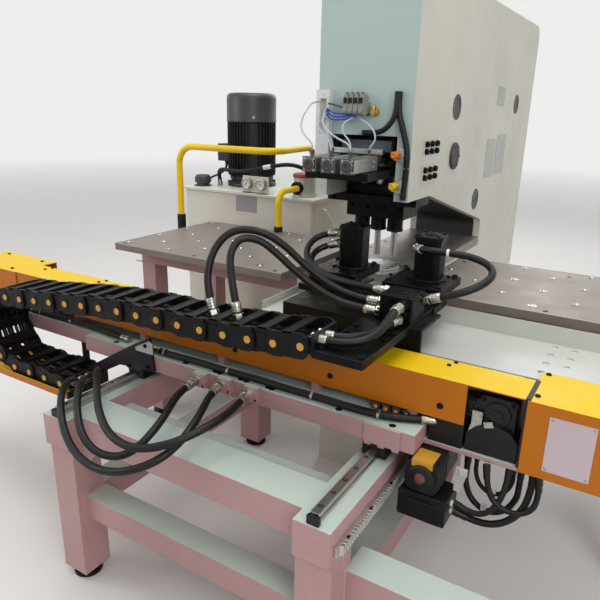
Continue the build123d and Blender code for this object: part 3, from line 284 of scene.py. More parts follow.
def moulded(name, colour, dust, roughness, grain_strength=0.1, gloss=0.5):
    """Moulded plastic or rubber with a fine grain and a veil of dust."""
    tree = Tree(name)
    veil = tree.ramp(tree.noise(11, 6), 0.42, 0.8, 0, 0.45)
    tree.colour(tree.mix(veil, linear(colour), linear(dust)))
    tree.rough(tree.ramp(tree.noise(60, 4), 0.3, 0.7, roughness - 0.08, roughness + 0.12))
    tree.shader.inputs["Specular IOR Level"].default_value = gloss
    tree.bump(tree.noise(700, 3), grain_strength, 0.0003)


# Cream paint; its top colour is painted light, a greener lit tint on the faces that look up.
painted("cream_paint", (206, 202, 190), (188, 180, 170), (150, 150, 140), top=(206, 214, 202))
# Frame look on cream paint: the dusty rose of the sides is a painted reflection with painted shade, and the
# top colour a painted lit tint.
painted("frame_paint_and_painted_light", (176, 138, 138), (158, 120, 120), (150, 150, 140), top=(182, 194, 184))
# Press look on the grey paint: the front colour is a painted blue-green light tint on the head's front, and
# the dark colour painted shade in the throat.
painted("press_paint_and_painted_light", (205, 202, 190), (194, 190, 178), (140, 142, 138),
        front=(168, 186, 182), throat_shade_colour=(48, 46, 43))
painted("grey_paint", (205, 202, 190), (194, 190, 178), (140, 142, 138))
# Cover yellow: the orange of the sides is a painted reflection with painted shade, and the lemon top colour a
# painted lit top.
painted("yellow_paint", (184, 104, 0), (174, 95, 0), (130, 96, 40),
        roughness=0.42, top=(226, 188, 8), dirt=0.2, gloss=0.3)
painted("guard_yellow", (232, 196, 4), (212, 172, 4), (130, 96, 40), gloss=0.35)
painted("black_paint", (16, 16, 17), (28, 27, 27), (90, 90, 90), roughness=0.42, dirt=0.2, gloss=0.3)
painted("motor_paint", (46, 46, 45), (58, 58, 56), (120, 120, 118))
painted("motor_dark", (30, 30, 31), (42, 42, 42), (96, 96, 96), gloss=0.35)
painted("tray_paint", (196, 198, 190), (180, 182, 174), (150, 156, 150), roughness=0.4, coat=0.1, gloss=0.4)
ground_steel("table_steel", (146, 138, 132), (124, 116, 110), 0.46, (1, 0.25, 1),
             metallic=0.75, stain=0.55, lines=0.25)
ground_steel("bright_steel", (190, 190, 188), (146, 146, 146), 0.32, (0.1, 1, 1))
dark_metal("black_steel", (14, 14, 15), (96, 96, 96), gloss=0.3)
dark_metal("plug_steel", (62, 62, 62), (140, 140, 138), 0.5, 0.4)
polished("chrome_ball", (206, 206, 204), 0.1)
ground_steel("aluminium", (182, 183, 180), (150, 150, 148), 0.36, (1, 0.15, 1), stain=0.3)
painted("steel_blue", (112, 122, 130), (96, 104, 112), (150, 152, 150), roughness=0.45)
painted("plate_grey", (178, 178, 174), (164, 164, 160), (140, 140, 140), roughness=0.45)
painted("plate_lilac", (150, 144, 150), (138, 132, 138), (150, 150, 150), roughness=0.45)
painted("plate_pink", (196, 178, 182), (182, 164, 168), (140, 140, 140), roughness=0.4)
painted("valve_grey", (150, 154, 146), (120, 124, 118), (190, 190, 186), roughness=0.42)
moulded("rubber", (12, 12, 13), (30, 29, 28), 0.44, gloss=0.28)
moulded("belt_rubber", (22, 22, 22), (48, 47, 45), 0.6)
moulded("chain_plastic", (13, 12, 13), (30, 27, 26), 0.46, gloss=0.16)
moulded("fitting_plastic", (212, 213, 210), (184, 183, 176), 0.4)
moulded("dial_white", (226, 226, 220), (206, 206, 198), 0.3, grain_strength=0.02)
moulded("orange", (214, 120, 24), (176, 100, 30), 0.36)
moulded("lemon", (222, 190, 20), (186, 160, 30), 0.36)
moulded("ochre", (196, 142, 40), (160, 118, 46), 0.42)
moulded("red", (150, 34, 30), (110, 34, 32), 0.36)
moulded("brown", (104, 62, 58), (84, 56, 52), 0.4)
moulded("tube_white", (172, 178, 188), (150, 156, 168), 0.3, grain_strength=0.02)
moulded("tube_blue", (38, 66, 168), (52, 84, 178), 0.3, grain_strength=0.02)
polished("zinc", (172, 170, 162), 0.24)
polished("brass", (188, 158, 84), 0.26)


# The press and the frame's nodes take looks with painted light; the guard tubes take the guard's yellow.
own_looks = {"c_frame": "press_paint_and_painted_light", "guard_tubes": "guard_yellow", "base_frame": "frame_paint_and_painted_light",
             "x_beam": "frame_paint_and_painted_light", "table_supports": "frame_paint_and_painted_light"}


def paint_nodes():
    """Gives each CAD node its own look, or that of its material slot."""
    for row in frame["record"]["subparts"]:
        node = nodes[row["node"]]
        node.data.materials.clear()
        node.data.materials.append(looks[own_looks.get(row["node"], row["material_slot"])])


# Hoses and the conduit, along the routes of their solids in millimetres

hose_dia = 0.022
clamp_hoses = (
    [(158, -547, 1079), (112, -560, 1072), (86, -604, 1050), (98, -660, 1018), (150, -712, 995),
     (222, -752, 984), (308, -786, 983), (388, -804, 985), (458, -806, 985)],
    [(158, -547, 1040), (114, -558, 1028), (94, -606, 1006), (126, -672, 982), (205, -728, 962),
     (285, -775, 953), (366, -808, 950), (415, -824, 951), (462, -830, 952)],
    [(484, -612, 1079), (520, -650, 1086), (594, -640, 1086), (664, -622, 1079), (724, -644, 1067),
     (750, -704, 1052), (732, -768, 1034), (676, -804, 1008), (606, -806, 985)])
loop_hoses = (
    [(71, -1130, 942), (48, -1122, 992), (36, -1108, 1044), (38, -1082, 1100), (60, -1050, 1145),
     (103, -1020, 1163), (156, -985, 1150), (203, -950, 1110), (240, -925, 1065), (290, -903, 1020),
     (350, -884, 985), (412, -868, 968), (465, -862, 966)],
    [(152, -1120, 944), (138, -1117, 995), (118, -1104, 1048), (96, -1080, 1098), (98, -1036, 1138),
     (144, -1000, 1132), (190, -974, 1090), (236, -952, 1042), (292, -930, 996),
     (352, -908, 962), (408, -890, 947), (465, -880, 943)])
chain_hoses = (
    [(445, -1165, 942), (500, -1160, 942), (550, -1128, 948), (569, -1075, 960), (567, -1020, 974),
     (562, -980, 980), (560, -945, 981)],
    [(445, -1130, 942), (488, -1120, 941), (520, -1088, 941), (540, -1040, 943), (551, -990, 946),
     (556, -945, 947)])
lower_hoses = (
    [(-531, -1147, 563), (-470, -1170, 590), (-400, -1225, 636), (-335, -1290, 668), (-270, -1355, 680),
     (-205, -1415, 655), (-145, -1452, 614), (-75, -1465, 590), (-5, -1452, 592), (38, -1425, 618),
     (52, -1380, 648), (40, -1320, 664), (12, -1255, 674), (-8, -1195, 682), (-12, -1142, 686)],
    [(-531, -1175, 563), (-485, -1196, 585), (-432, -1248, 628), (-374, -1316, 664), (-312, -1385, 668),
     (-245, -1440, 640), (-180, -1475, 600), (-95, -1497, 575), (-10, -1500, 574), (70, -1484, 594),
     (130, -1440, 622), (152, -1378, 650), (142, -1300, 676), (118, -1235, 688), (95, -1185, 692),
     (87, -1142, 694)],
    [(-531, -1119, 563), (-468, -1138, 596), (-385, -1185, 652), (-300, -1255, 698), (-210, -1335, 704),
     (-125, -1405, 676), (-35, -1448, 648), (60, -1458, 644), (145, -1425, 664), (200, -1355, 690),
     (216, -1280, 700), (207, -1210, 698), (188, -1142, 694)])
conduit_route = [(-240, -1062, 717), (-150, -1066, 718), (-50, -1060, 718), (60, -1064, 718),
                 (170, -1058, 718), (280, -1063, 718), (400, -1058, 718), (500, -1062, 718),
                 (580, -1056, 718), (640, -1035, 717), (700, -1004, 717)]
# Cables without a solid: routes and diameters in millimetres, lengths in metres

beam_cables = (
    ([(-392, -1045, 717), (-450, -1046, 718), (-520, -1038, 718), (-600, -1034, 718), (-700, -1031, 716),
      (-800, -1034, 715), (-880, -1031, 713), (-955, -1031, 708)], 20, 0.564),
    ([(812, -1050, 522), (850, -1054, 514), (886, -1048, 528), (908, -1034, 566), (914, -1016, 606),
      (914, -1004, 636)], 15, 0.197),
    ([(812, -1050, 500), (858, -1046, 488), (912, -1036, 496), (954, -1020, 532), (970, -1004, 580),
      (972, -996, 636)], 18, 0.266),
    ([(806, -985, 636), (806, -987, 590), (806, -990, 558), (828, -996, 514), (873, -1000, 494),
      (918, -996, 514), (940, -990, 558), (940, -984, 590), (940, -980, 636)], 16, 0.347),
    ([(824, -962, 636), (824, -962, 604), (824, -963, 580), (838, -965, 546), (872, -966, 528),
      (906, -965, 546), (920, -963, 580), (920, -962, 604), (920, -962, 636)], 12, 0.256),
    ([(988, -1014, 636), (992, -1018, 600), (984, -1026, 562), (948, -1034, 540), (900, -1040, 552),
      (872, -1036, 590), (864, -1026, 636)], 15, 0.256),
)
tank_cables = (
    ([(-1130, 402, 1066), (-1131, 398, 1098), (-1120, 380, 1132), (-1086, 354, 1150), (-1034, 338, 1152),
      (-960, 334, 1148), (-874, 336, 1158), (-771, 344, 1180), (-696, 364, 1196), (-640, 398, 1202),
      (-590, 432, 1188), (-556, 462, 1160), (-546, 476, 1150)], 22, 0.714),
    ([(-1189, 540, 1156), (-1192, 534, 1132), (-1206, 506, 1106), (-1228, 466, 1092), (-1240, 440, 1080),
      (-1242, 434, 1060)], 12, 0.161),
)
tube_dia = 6
tube_blend = ("press", "ram", (0.15, -0.47, 1.452), (0.15, -0.47, 1.374))
air_tubes = (
    ("tube_white", True, 0.170, [(178, -456, 1470), (196, -470, 1462), (232, -490, 1450), (264, -505, 1424),
                                 (270, -512, 1396), (252, -512, 1376), (250, -512, 1369)]),
    ("tube_white", True, 0.145, [(160, -456, 1470), (140, -478, 1458), (134, -498, 1436), (150, -508, 1412),
                                 (178, -512, 1390), (180, -512, 1369)]),
    ("tube_white", True, 0.352, [(44, -447, 1482), (80, -520, 1474), (112, -600, 1462), (150, -640, 1432),
                                 (205, -650, 1404), (246, -650, 1390), (250, -650, 1369)]),
    ("tube_white", True, 0.175, [(44, -447, 1500), (52, -480, 1482), (62, -505, 1450), (84, -512, 1412),
                                 (108, -512, 1390), (110, -512, 1369)]),
    ("tube_white", True, 0.289, [(44, -447, 1462), (60, -520, 1452), (90, -590, 1440), (140, -635, 1418),
                                 (176, -650, 1394), (180, -650, 1369)]),
    ("tube_white", True, 0.313, [(20, -447, 1520), (30, -520, 1518), (48, -580, 1500), (40, -610, 1462),
                                 (52, -630, 1426), (90, -648, 1400), (110, -650, 1384), (110, -650, 1369)]),
    ("tube_blue", False, 0.118, [(44, -447, 1490), (70, -466, 1474), (100, -470, 1470), (130, -466, 1471),
                                 (150, -456, 1476)]),
    ("tube_blue", False, 0.137, [(44, -447, 1476), (72, -472, 1462), (104, -476, 1460), (136, -470, 1463),
                                 (166, -456, 1474)]),
    ("tube_blue", False, 0.104, [(44, -447, 1498), (74, -460, 1483), (104, -464, 1480), (130, -460, 1480),
                                 (142, -456, 1480)]),
    ("plug_steel", False, 0.130, [(52, -447, 1514), (84, -458, 1510), (120, -462, 1500), (156, -460, 1492),
                                  (176, -453, 1486)]),
)
hose_sets = (
    ("clamp_hose", clamp_hoses, "carriage", (0.567, 0.552, 0.531)),
    ("loop_hose", loop_hoses, "carriage", (0.743, 0.683)),
    ("chain_hose", chain_hoses, "carriage", (0.302, 0.236)),
    ("lower_hose", lower_hoses, "beam", (1.036, 1.159, 1.132)),
)


def metres(point):
    """Point in metres from millimetres."""
    return Vector(point) / 1000


def add_spline(data, points):
    """Smooth spline from the first point to the last that leans on the points between."""
    spline = data.splines.new("NURBS")
    spline.points.add(len(points) - 1)
    for point, place in zip(spline.points, points):
        point.co = (*place, 1)
    spline.order_u = 3
    spline.use_endpoint_u = True


def smooth_curve(name, route, dia):
    """Round rubber line on one smooth spline with the route's points as its control points."""
    data = bpy.data.curves.new(name, "CURVE")
    data.dimensions = "3D"
    data.bevel_depth = dia / 2
    data.bevel_resolution = 5
    data.resolution_u = 10
    data.use_fill_caps = True
    add_spline(data, [metres(place) for place in route])
    data.materials.append(looks["rubber"])
    curve = bpy.data.objects.new(name, data)
    bpy.context.scene.collection.objects.link(curve)
    return curve


def add_cord(name, route, body, dia, node=None):
    """Rubber line that rides on a body, in place of a solid if one is named."""
    curve = smooth_curve(name, route, dia)
    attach(curve, body)
    if node:
        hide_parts(node)


def add_hoses():
    """Hoses, conduits and cables with their ends and ties."""
    for stem, routes, body, lengths in hose_sets:
        reach = 26 if stem == "chain_hose" else 34
        for k, (route, length) in enumerate(zip(routes, lengths), 1):
            carried = [add_hose_ends(f"{stem}_ends_{k}", route, body, reach)]
            if (stem, k) == ("clamp_hose", 3):
                carried.append(add_hose_tie("hose_tie", body, (592, -640.5, 1085), (1, 0.16, 0), 8))
            add_cord(f"{stem}_line_{k}", route, body, hose_dia, f"{stem}_{k}")
    glands = add_glands("conduit_glands", conduit_route, "beam", 1, "zinc")
    add_cord("conduit_line", conduit_route, "beam", hose_dia, "conduit")
    for body, cables in (("beam", beam_cables), ("press", tank_cables)):
        for k, (route, dia, length) in enumerate(cables, 1):
            look = "zinc" if k == 1 else "black_paint"
            carried = [add_glands(f"{body}_cable_glands_{k}", route, body, dia / 22, look)]
            if dia == 22:
                carried.append(add_hose_tie("pump_hose_tie", body, (-757, 347, 1184), (0.95, 0.25, 0.2), 44))
            add_cord(f"{body}_cable_{k}", route, body, dia / 1000)


def add_air_tubes():
    """Thin air tubes from the head to the cylinders; those that end on the cylinders stay fixed where they
    are drawn.
    """
    for k, (look, to_ram, length, route) in enumerate(air_tubes, 1):
        form = Form()
        form.strip(route, tube_dia / 2, 12)
        blend = tube_blend if to_ram else None
        tube = form.piece(f"air_tube_{k}", "press", "fitting_plastic", look, 0, blend=blend)
        [point / 1000 for point in smooth_points(route)]


# Forms

UP, DOWN = (0, 0, 1), (0, 0, -1)
FRONT, BACK = (0, -1, 0), (0, 1, 0)
RIGHT, LEFT = (1, 0, 0), (-1, 0, 0)
sharp_angle = math.radians(34)

# Places that several forms share, in millimetres

head_face = -420
flank_left, flank_right = -2.5, 362.5
punch_places = (110, 180, 250)
tank_top = 1050
gauge_height = 1100
cover_top = 847.5
motor_share = 0.82
cross_rails = (-316, 578)
hole_pitch = 60


def around(x, y, r, count, turn=0.0):
    """Places evenly spread on a circle."""
    angles = [math.tau * k / count + turn for k in range(count)]
    return [(x + r * math.cos(angle), y + r * math.sin(angle)) for angle in angles]


class Form:
    """Mesh put together from simple forms, in millimetres."""

    def __init__(self, place=None):
        self.mesh = bmesh.new()
        self.place = Matrix.Identity(4) if place is None else place

    def block(self, x, y, z, turn=None):
        """Box between three pairs of limits, turned about its middle if asked."""
        middle = Matrix.Translation((sum(x) / 2, sum(y) / 2, sum(z) / 2))
        size = Matrix.Diagonal((x[1] - x[0], y[1] - y[0], z[1] - z[0], 1))
        turn = Matrix.Identity(4) if turn is None else turn
        bmesh.ops.create_cube(self.mesh, size=1, matrix=self.place @ middle @ turn @ size)

    def rod(self, start, end, r, tip=None, sides=28):
        """Round, tapered or many-sided bar between two points."""
        start, end = Vector(start), Vector(end)
        line = end - start
        turn = line.to_track_quat("Z", "Y").to_matrix().to_4x4()
        where = self.place @ Matrix.Translation((start + end) / 2) @ turn
        bmesh.ops.create_cone(self.mesh, cap_ends=True, segments=sides, radius1=r,
                              radius2=r if tip is None else tip, depth=line.length, matrix=where)

    def turned(self, base, axis, profile, sides=28):
        """Turned form from pairs of radius and height along an axis."""
        turn = Vector(axis).to_track_quat("Z", "Y")
        rings = []
        for r, height in profile:
            count = sides if r > 0.01 else 1
            ring = []
            for k in range(count):
                angle = 2 * math.pi * k / count
                point = Vector((r * math.cos(angle), r * math.sin(angle), height))
                ring.append(self.mesh.verts.new(self.place @ (Vector(base) + turn @ point)))
            rings.append(ring)
        for low, high in zip(rings, rings[1:]):
            for k in range(sides):
                corners = [low[k % len(low)], low[(k + 1) % len(low)],
                           high[(k + 1) % len(high)], high[k % len(high)]]
                corners = list(dict.fromkeys(corners))
                if len(corners) > 2:
                    self.mesh.faces.new(corners)
        for ring in (rings[0], rings[-1]):
            if len(ring) > 1:
                self.mesh.faces.new(ring)

    def prism(self, points, axis, span):
        """Flat outline drawn across an axis, between two limits on it."""
        spots = {"x": lambda a, b, d: (d, a, b), "y": lambda a, b, d: (a, d, b),
                 "z": lambda a, b, d: (a, b, d)}
        ends = [[self.mesh.verts.new(self.place @ Vector(spots[axis](a, b, depth))) for a, b in points]
                for depth in span]
        self.mesh.faces.new(ends[0])
        self.mesh.faces.new(list(reversed(ends[1])))
        count = len(points)
        for k in range(count):
            after = (k + 1) % count
            self.mesh.faces.new([ends[0][k], ends[1][k], ends[1][after], ends[0][after]])

    def screw(self, base, axis, r, height):
        """Cap screw with a round socket."""
        self.turned(base, axis, [(0, 0), (r, 0), (r, height - 0.8), (r - 0.8, height), (r * 0.52, height),
                                 (r * 0.52, height * 0.45), (0, height * 0.45)], 20)

    def screws(self, xs, ys, zs, axis, r, height):
        """Cap screws at every crossing of the given places; a bare number is one place."""
        lines = [line if hasattr(line, "__iter__") else (line,) for line in (xs, ys, zs)]
        for spot in itertools.product(*lines):
            self.screw(spot, axis, r, height)

    def nut(self, start, end, r):
        """Six-sided nut with turned-down ends."""
        start, end = Vector(start), Vector(end)
        step = (end - start).normalized() * 1.4
        self.rod(start, start + step, r * 0.9, r, 6)
        self.rod(start + step, end - step, r, r, 6)
        self.rod(end - step, end, r, r * 0.9, 6)

    def strip(self, points, r, sides=14):
        """Round bar along a smooth line through given control points."""
        line = smooth_points(points)
        rings = []
        for k, point in enumerate(line):
            before, after = line[max(k - 1, 0)], line[min(k + 1, len(line) - 1)]
            turn = (after - before).to_track_quat("Z", "Y")
            ring = []
            for n in range(sides):
                angle = 2 * math.pi * n / sides
                spot = point + turn @ Vector((r * math.cos(angle), r * math.sin(angle), 0))
                ring.append(self.mesh.verts.new(self.place @ spot))
            rings.append(ring)
        for low, high in zip(rings, rings[1:]):
            for n in range(sides):
                after = (n + 1) % sides
                self.mesh.faces.new([low[n], low[after], high[after], high[n]])
        for ring in (rings[0], rings[-1]):
            self.mesh.faces.new(ring)

    def piece(self, name, body, slot, look=None, edge=0.5, replaces=(), blend=None):
        """Object in metres with small rounded edges; it moves with a body, or stays put if given a blend."""
        bmesh.ops.recalc_face_normals(self.mesh, faces=self.mesh.faces[:])
        bmesh.ops.scale(self.mesh, vec=(0.001, 0.001, 0.001), verts=self.mesh.verts[:])
        data = bpy.data.meshes.new(name)
        self.mesh.to_mesh(data)
        self.mesh.free()
        data.polygons.foreach_set("use_smooth", [True] * len(data.polygons))
        data.set_sharp_from_angle(angle=sharp_angle)
        data.materials.append(looks[look or slot])
        made = bpy.data.objects.new(name, data)
        bpy.context.scene.collection.objects.link(made)
        if edge:
            bevel = made.modifiers.new("edges", "BEVEL")
            bevel.width = edge / 1000
            bevel.segments = 2
            bevel.limit_method = "ANGLE"
            bevel.angle_limit = sharp_angle
            bevel.harden_normals = True
        if blend:
            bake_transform(made)
        else:
            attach(made, body)
        if replaces:
            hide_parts(*replaces)
        return made


def smooth_points(route):
    """Points read along the smooth spline that has the route as its control points."""
    data = bpy.data.curves.new("line", "CURVE")
    data.dimensions = "3D"
    data.resolution_u = 8
    add_spline(data, route)
    holder = bpy.data.objects.new("line", data)
    mesh = bpy.data.meshes.new_from_object(holder)
    points = [v.co.copy() for v in mesh.vertices]
    bpy.data.objects.remove(holder)
    bpy.data.curves.remove(data)
    bpy.data.meshes.remove(mesh)
    return points


# Cable chain

chain_joints = {
    "top": [(415.9, 930.0), (334.0, 920.3), (251.9, 912.7), (169.7, 907.1), (87.4, 903.1), (5.0, 900.6),
            (-77.5, 898.6), (-159.9, 896.4), (-242.2, 893.0), (-324.5, 887.5), (-406.6, 879.5),
            (-488.4, 869.9), (-570.2, 859.6), (-652.0, 849.4), (-734.0, 840.4), (-816.0, 833.3)],
    "loop": [(-816.0, 833.3), (-895.6, 807.4), (-944.7, 739.8), (-944.7, 656.2), (-895.6, 588.6),
             (-816.0, 562.7)],
    "lower": [(-816.0, 562.7), (-731.0, 562.7), (-646.0, 562.7), (-561.0, 562.7)],
}
chain_first = {"top": 0, "loop": 15, "lower": 20}
chain_front = -1210
chain_back = -1056
chain_half = 34
chain_side = 8
chain_cables = ((-1180, -7, 11), (-1156, 4, 8), (-1132, -3, 11), (-1108, 6, 6), (-1086, -5, 9))
chain_bodies = {"top": "carriage", "loop": "chain_loop", "lower": "beam"}
chain_blends = {
    "top": ("beam", "carriage", (-2.048, 0, 0), (0.416, 0, 0)),
    "loop": None,
    "lower": ("beam", "chain_loop", (-0.541, 0, 0), (-0.816, 0, 0)),
}


def chain_link(form, dots, a, b, outer):
    """One link in its own frame: X along it, Z across it, with crossbars and joint dots."""
    along = Vector((b[0] - a[0], 0, b[1] - a[1]))
    length = along.length
    u = along / length
    n = Vector((-u.z, 0, u.x))
    place = Matrix(((u.x, 0, n.x, a[0]), (0, 1, 0, 0), (u.z, 0, n.z, a[1]), (0, 0, 0, 1)))
    form.place = dots.place = place
    h = chain_half
    inset = 0 if outer else chain_side
    front, back = chain_front + inset, chain_back - inset
    side = [(-21, -16), (-13, -h + 6), (-4, -h), (length * 0.3, -h), (length * 0.36, -h + 5),
            (length * 0.64, -h + 5), (length * 0.7, -h), (length + 4, -h), (length + 13, -h + 6),
            (length + 21, -16)]
    side += [(x, -z) for x, z in reversed(side)]
    for y in ((front, front + chain_side), (back - chain_side, back)):
        form.prism(side, "y", y)
    for out, plate_y in ((-1, front), (1, back)):
        for x in (0, length):
            if outer:
                form.turned((x, plate_y, 0), (0, out, 0), [(22, -1), (22, 0.6), (21, 1.2), (12, 1.2),
                                                          (12, 0.6)])
                dots.turned((x, plate_y, 0), (0, out, 0), [(0, 0.4), (10.4, 0.4), (10.4, 2.0), (9.6, 2.6),
                                                          (6, 2.6), (5, 2.2), (0, 2.2)], 26)
        if not outer:
            form.block((length / 2 - 14, length / 2 + 14), sorted((plate_y, plate_y + 2 * out)),
                       (-h + 12, h - 12))
    inner = (front + chain_side, back - chain_side)
    for z in (1, -1):
        bars = (h - 7, h) if z > 0 else (-h, -h + 7)
        form.block((length / 2 - 17, length / 2 + 17), inner, bars)
        rim = (h - 3, h + 0.8) if z > 0 else (-h - 0.8, -h + 3)
        for x in (length / 2 - 13, length / 2 + 13):
            form.block((x - 2.5, x + 2.5), inner, rim)
        for y in (inner[0] + 7, inner[1] - 7):
            form.block((length / 2 - 19, length / 2 + 19), (y - 7, y + 7), rim)


def add_chain():
    """Links, joint dots and cables of the chain's three runs."""
    for part, joints in chain_joints.items():
        form, dots, cables = Form(), Form(), Form()
        for k, (a, b) in enumerate(zip(joints, joints[1:])):
            chain_link(form, dots, a, b, (chain_first[part] + k) % 2 == 0)
        for y, rise, r in chain_cables:
            cables.strip([(x, y, z + rise) for x, z in joints], r, 12)
        body = chain_bodies[part]
        blend = chain_blends[part]
        node = f"chain_{part}"
        form.piece(f"{node}_links", body, "chain_plastic", edge=0.8, replaces=(node,), blend=blend)
        dots.piece(f"{node}_dots", body, "yellow_paint", "ochre", 0, blend=blend)
        cables.piece(f"{node}_cables", body, "rubber", edge=0, blend=blend)


# Hose ends


def hose_end(form, tip, beyond, reach):
    """Pressed sleeve over the hose's end and a nut on the fitting behind it."""
    tip, beyond = Vector(tip), Vector(beyond)
    along = (beyond - tip).normalized()
    start = tip - along * 4
    form.turned(start, along, [(0, 0), (13.5, 0), (14.6, 2), (14.6, 9), (13.6, 10), (14.6, 11), (14.6, 18),
                               (13.6, 19), (14.6, 20), (14.6, reach - 4), (12.5, reach)], 24)
    form.nut(start - along * 17, start, 16.5)


def ends_of(route):
    """Both tips of a line, each with the point that follows it."""
    return ((route[0], route[1]), (route[-1], route[-2]))


def add_hose_ends(name, route, body, reach):
    """Zinc sleeves and nuts at both ends of a hose, riding with it."""
    form = Form()
    for tip, beyond in ends_of(route):
        hose_end(form, tip, beyond, reach)
    return form.piece(name, body, "bright_steel", "zinc", 0.4)


def add_hose_tie(name, body, spot, along, width):
    """Pale band round a hose."""
    form = Form()
    start = Vector(spot) - Vector(along).normalized() * width / 2
    form.turned(start, along, [(11.2, 0), (12.4, 1), (12.4, width - 1), (11.2, width)], 24)
    return form.piece(name, body, "fitting_plastic", "dial_white", 0.2)


def add_glands(name, route, body, size, look):
    """Screwed glands at both ends of a conduit or cable."""
    form = Form()
    for tip, beyond in ends_of(route):
        tip, beyond = Vector(tip), Vector(beyond)
        along = (beyond - tip).normalized()
        form.turned(tip - along * 14, along, [(r * size, height) for r, height in (
            (14, 0), (14, 18), (12.6, 20), (12.6, 34), (11.4, 38))], 24)
    return form.piece(name, body, "rubber", look, 0.3)


# Press head


def add_head():
    """Duct, valve bank, air inlet, switches and cable on the head's front."""
    face, low, step, high = head_face, 1192, 1261, 1560
    on_head = dict(replaces=("head_fittings",))
    form = Form()
    for x, depth, z in (((0.5, 54.5), 25, (1530, high)), ((0.5, 15.5), 25, (step, 1530)),
                        ((41.5, 54.5), 25, (step, 1530)), ((15.5, 41.5), 4, (1410, 1530)),
                        ((15.5, 41.5), 25, (step, 1410)), ((7.5, 54.5), 25, (low, step))):
        form.block(x, (face - depth, face), z)
    form.screws(30, face - 25, (1226, 1300, 1370, 1546), FRONT, 4, 2.5)
    form.piece("head_duct", "press", "fitting_plastic", **on_head)

    bank, knobs, coils = Form(), Form(), Form()
    for k in range(4):
        x = 119 + 20 * k
        bank.block((x, x + 18), (face - 50, face), (1481, 1512))
        bank.block((x + 1, x + 17), (face - 46, face - 2), (1512, 1539))
        bank.block((x + 3, x + 15), (face - 44, face - 10), (1539, 1548))
        bank.turned((x + 9, face - 50, 1490), FRONT, [(7, 0), (7, 3), (5.5, 4), (5.5, 8), (0, 8)], 18)
        knobs.turned((x + 9, face - 34, 1548), UP, [(5, 0), (5, 3), (4, 4), (0, 4)], 16)
        knobs.block((x + 4, x + 14), (face - 52, face - 46), (1516, 1534))
        coils.turned((x + 9, face - 16, 1539), UP, [(4, 0), (4, 12), (3, 13), (0, 13)], 12)
    bank.block((113, 203), (face - 30, face), (1476, 1482))
    for x in (117, 199):
        bank.block((x - 4, x + 4), (face - 40, face), (1476, 1520))
    bank.piece("valve_bank", "press", "aluminium", "valve_grey", 0.8, **on_head)
    knobs.piece("valve_knobs", "press", "fitting_plastic", "rubber", 0.4, **on_head)
    coils.piece("valve_coils", "press", "bright_steel", "zinc", 0, **on_head)

    brass = Form()
    brass.turned((225, face, 1488), FRONT, [(14, 0), (14, 4), (10, 5), (10, 30), (0, 30)], 20)
    brass.nut((225, face - 5, 1488), (225, face - 20, 1488), 14)
    brass.turned((225, face - 22, 1490), UP, [(9, 0), (9, 14), (7, 16), (7, 22), (0, 22)], 20)
    brass.piece("air_inlet", "press", "bright_steel", "brass", 0.4, **on_head)

    holders = Form()
    for z, look in ((1350, "orange"), (1244, "lemon")):
        holders.block((314, 349), (face - 8, face), (z - 24, z + 22))
        holders.block((330, 346), (face - 20, face - 8), (z - 8, z + 20))
        holders.screws(342, face - 8, (z - 19, z + 17), FRONT, 3.4, 2.5)
        knob = Form()
        knob.turned((318, face - 8, z), FRONT, [(14, 0), (14, 10), (12, 12), (12, 34), (10, 38), (5, 38),
                                                (4, 36), (0, 36)], 12)
        for x, spot_z in around(318, z, 13, 3, 0.5):
            knob.turned((x, face - 8, spot_z), FRONT, [(5, 0), (5, 24), (4, 25), (0, 25)], 14)
        knob.piece(f"switch_{look}", "press", "fitting_plastic", look, 0.6, **on_head)
    holders.piece("switch_holders", "press", "bright_steel", "aluminium", 0.4, **on_head)

    cable = Form()
    cable.strip([(313, -434, 1556), (312, -434, 1520), (316, -433, 1480), (333, -433, 1436),
                 (353, -433, 1372), (356, -433, 1300), (351, -433, 1240), (350, -433, 1199)], 10.5)
    cable.strip([(308, -440, 1556), (309, -441, 1500), (300, -444, 1462), (270, -447, 1428),
                 (232, -446, 1420), (200, -440, 1419), (192, -438, 1419)], 9)
    cable.piece("head_cable", "press", "rubber", edge=0, **on_head)
    ties = Form()
    for spot, along in (((354, -433, 1345), (0.1, 0, -1)), ((350, -433, 1215), DOWN),
                        ((312, -436, 1515), DOWN)):
        ties.turned(Vector(spot) - Vector(along) * 3, along, [(11.6, 0), (12.4, 1), (12.4, 5), (11.6, 6)], 20)
    ties.block((186, 206), (face - 26, face), (1412, 1428))
    ties.piece("head_cable_ties", "press", "rubber", "black_paint", 0.3, **on_head)


def add_flanks():
    """Plugs, bearing covers and frame bolts on both flanks of the press."""
    plugs, covers, screws, plates = Form(), Form(), Form(), Form()
    for x, out in ((flank_right, 1), (flank_left, -1)):
        axis = (out, 0, 0)
        for y, z in ((38, 1512), (442, 1104), (1046, 1536)):
            plugs.turned((x, y, z), axis, [(48.5, 0), (48.5, 2), (46, 2.5), (44, 1.2), (12, 1.2), (11, 0.3),
                                          (0, 0.3)], 48)
        y, z = 54, 1323
        covers.turned((x, y, z), axis, [(53.5, 0), (53.5, 8), (51, 9), (30, 9), (28, 7), (13, 7), (12, 8),
                                       (0, 8)], 48)
        for screw_y, screw_z in around(y, z, 41, 6):
            covers.screw((x + out * 9, screw_y, screw_z), axis, 5, 3.6)
        plates.block(sorted((x, x + out * 1.4)), (-306, -148), (1234, 1404))
        for y in (-278, -225, -172):
            for z in (1382, 1356, 1290, 1263):
                screws.turned((x + out * 1.4, y, z), axis, [(12, 0), (12, 1.2), (0, 1.2)], 24)
                screws.screw((x + out * 2.2, y, z), axis, 10.6, 10.8)
    for form, name, slot, look in ((plugs, "flank_plugs", "black_steel", "plug_steel"),
                                   (covers, "flank_covers", "black_steel", "plug_steel"),
                                   (screws, "flank_screws", "black_steel", "black_steel")):
        form.piece(name, "press", slot, look, 0.4, replaces=("side_covers",))
    plates.piece("bearing_plates", "press", "grey_paint", edge=0.3)


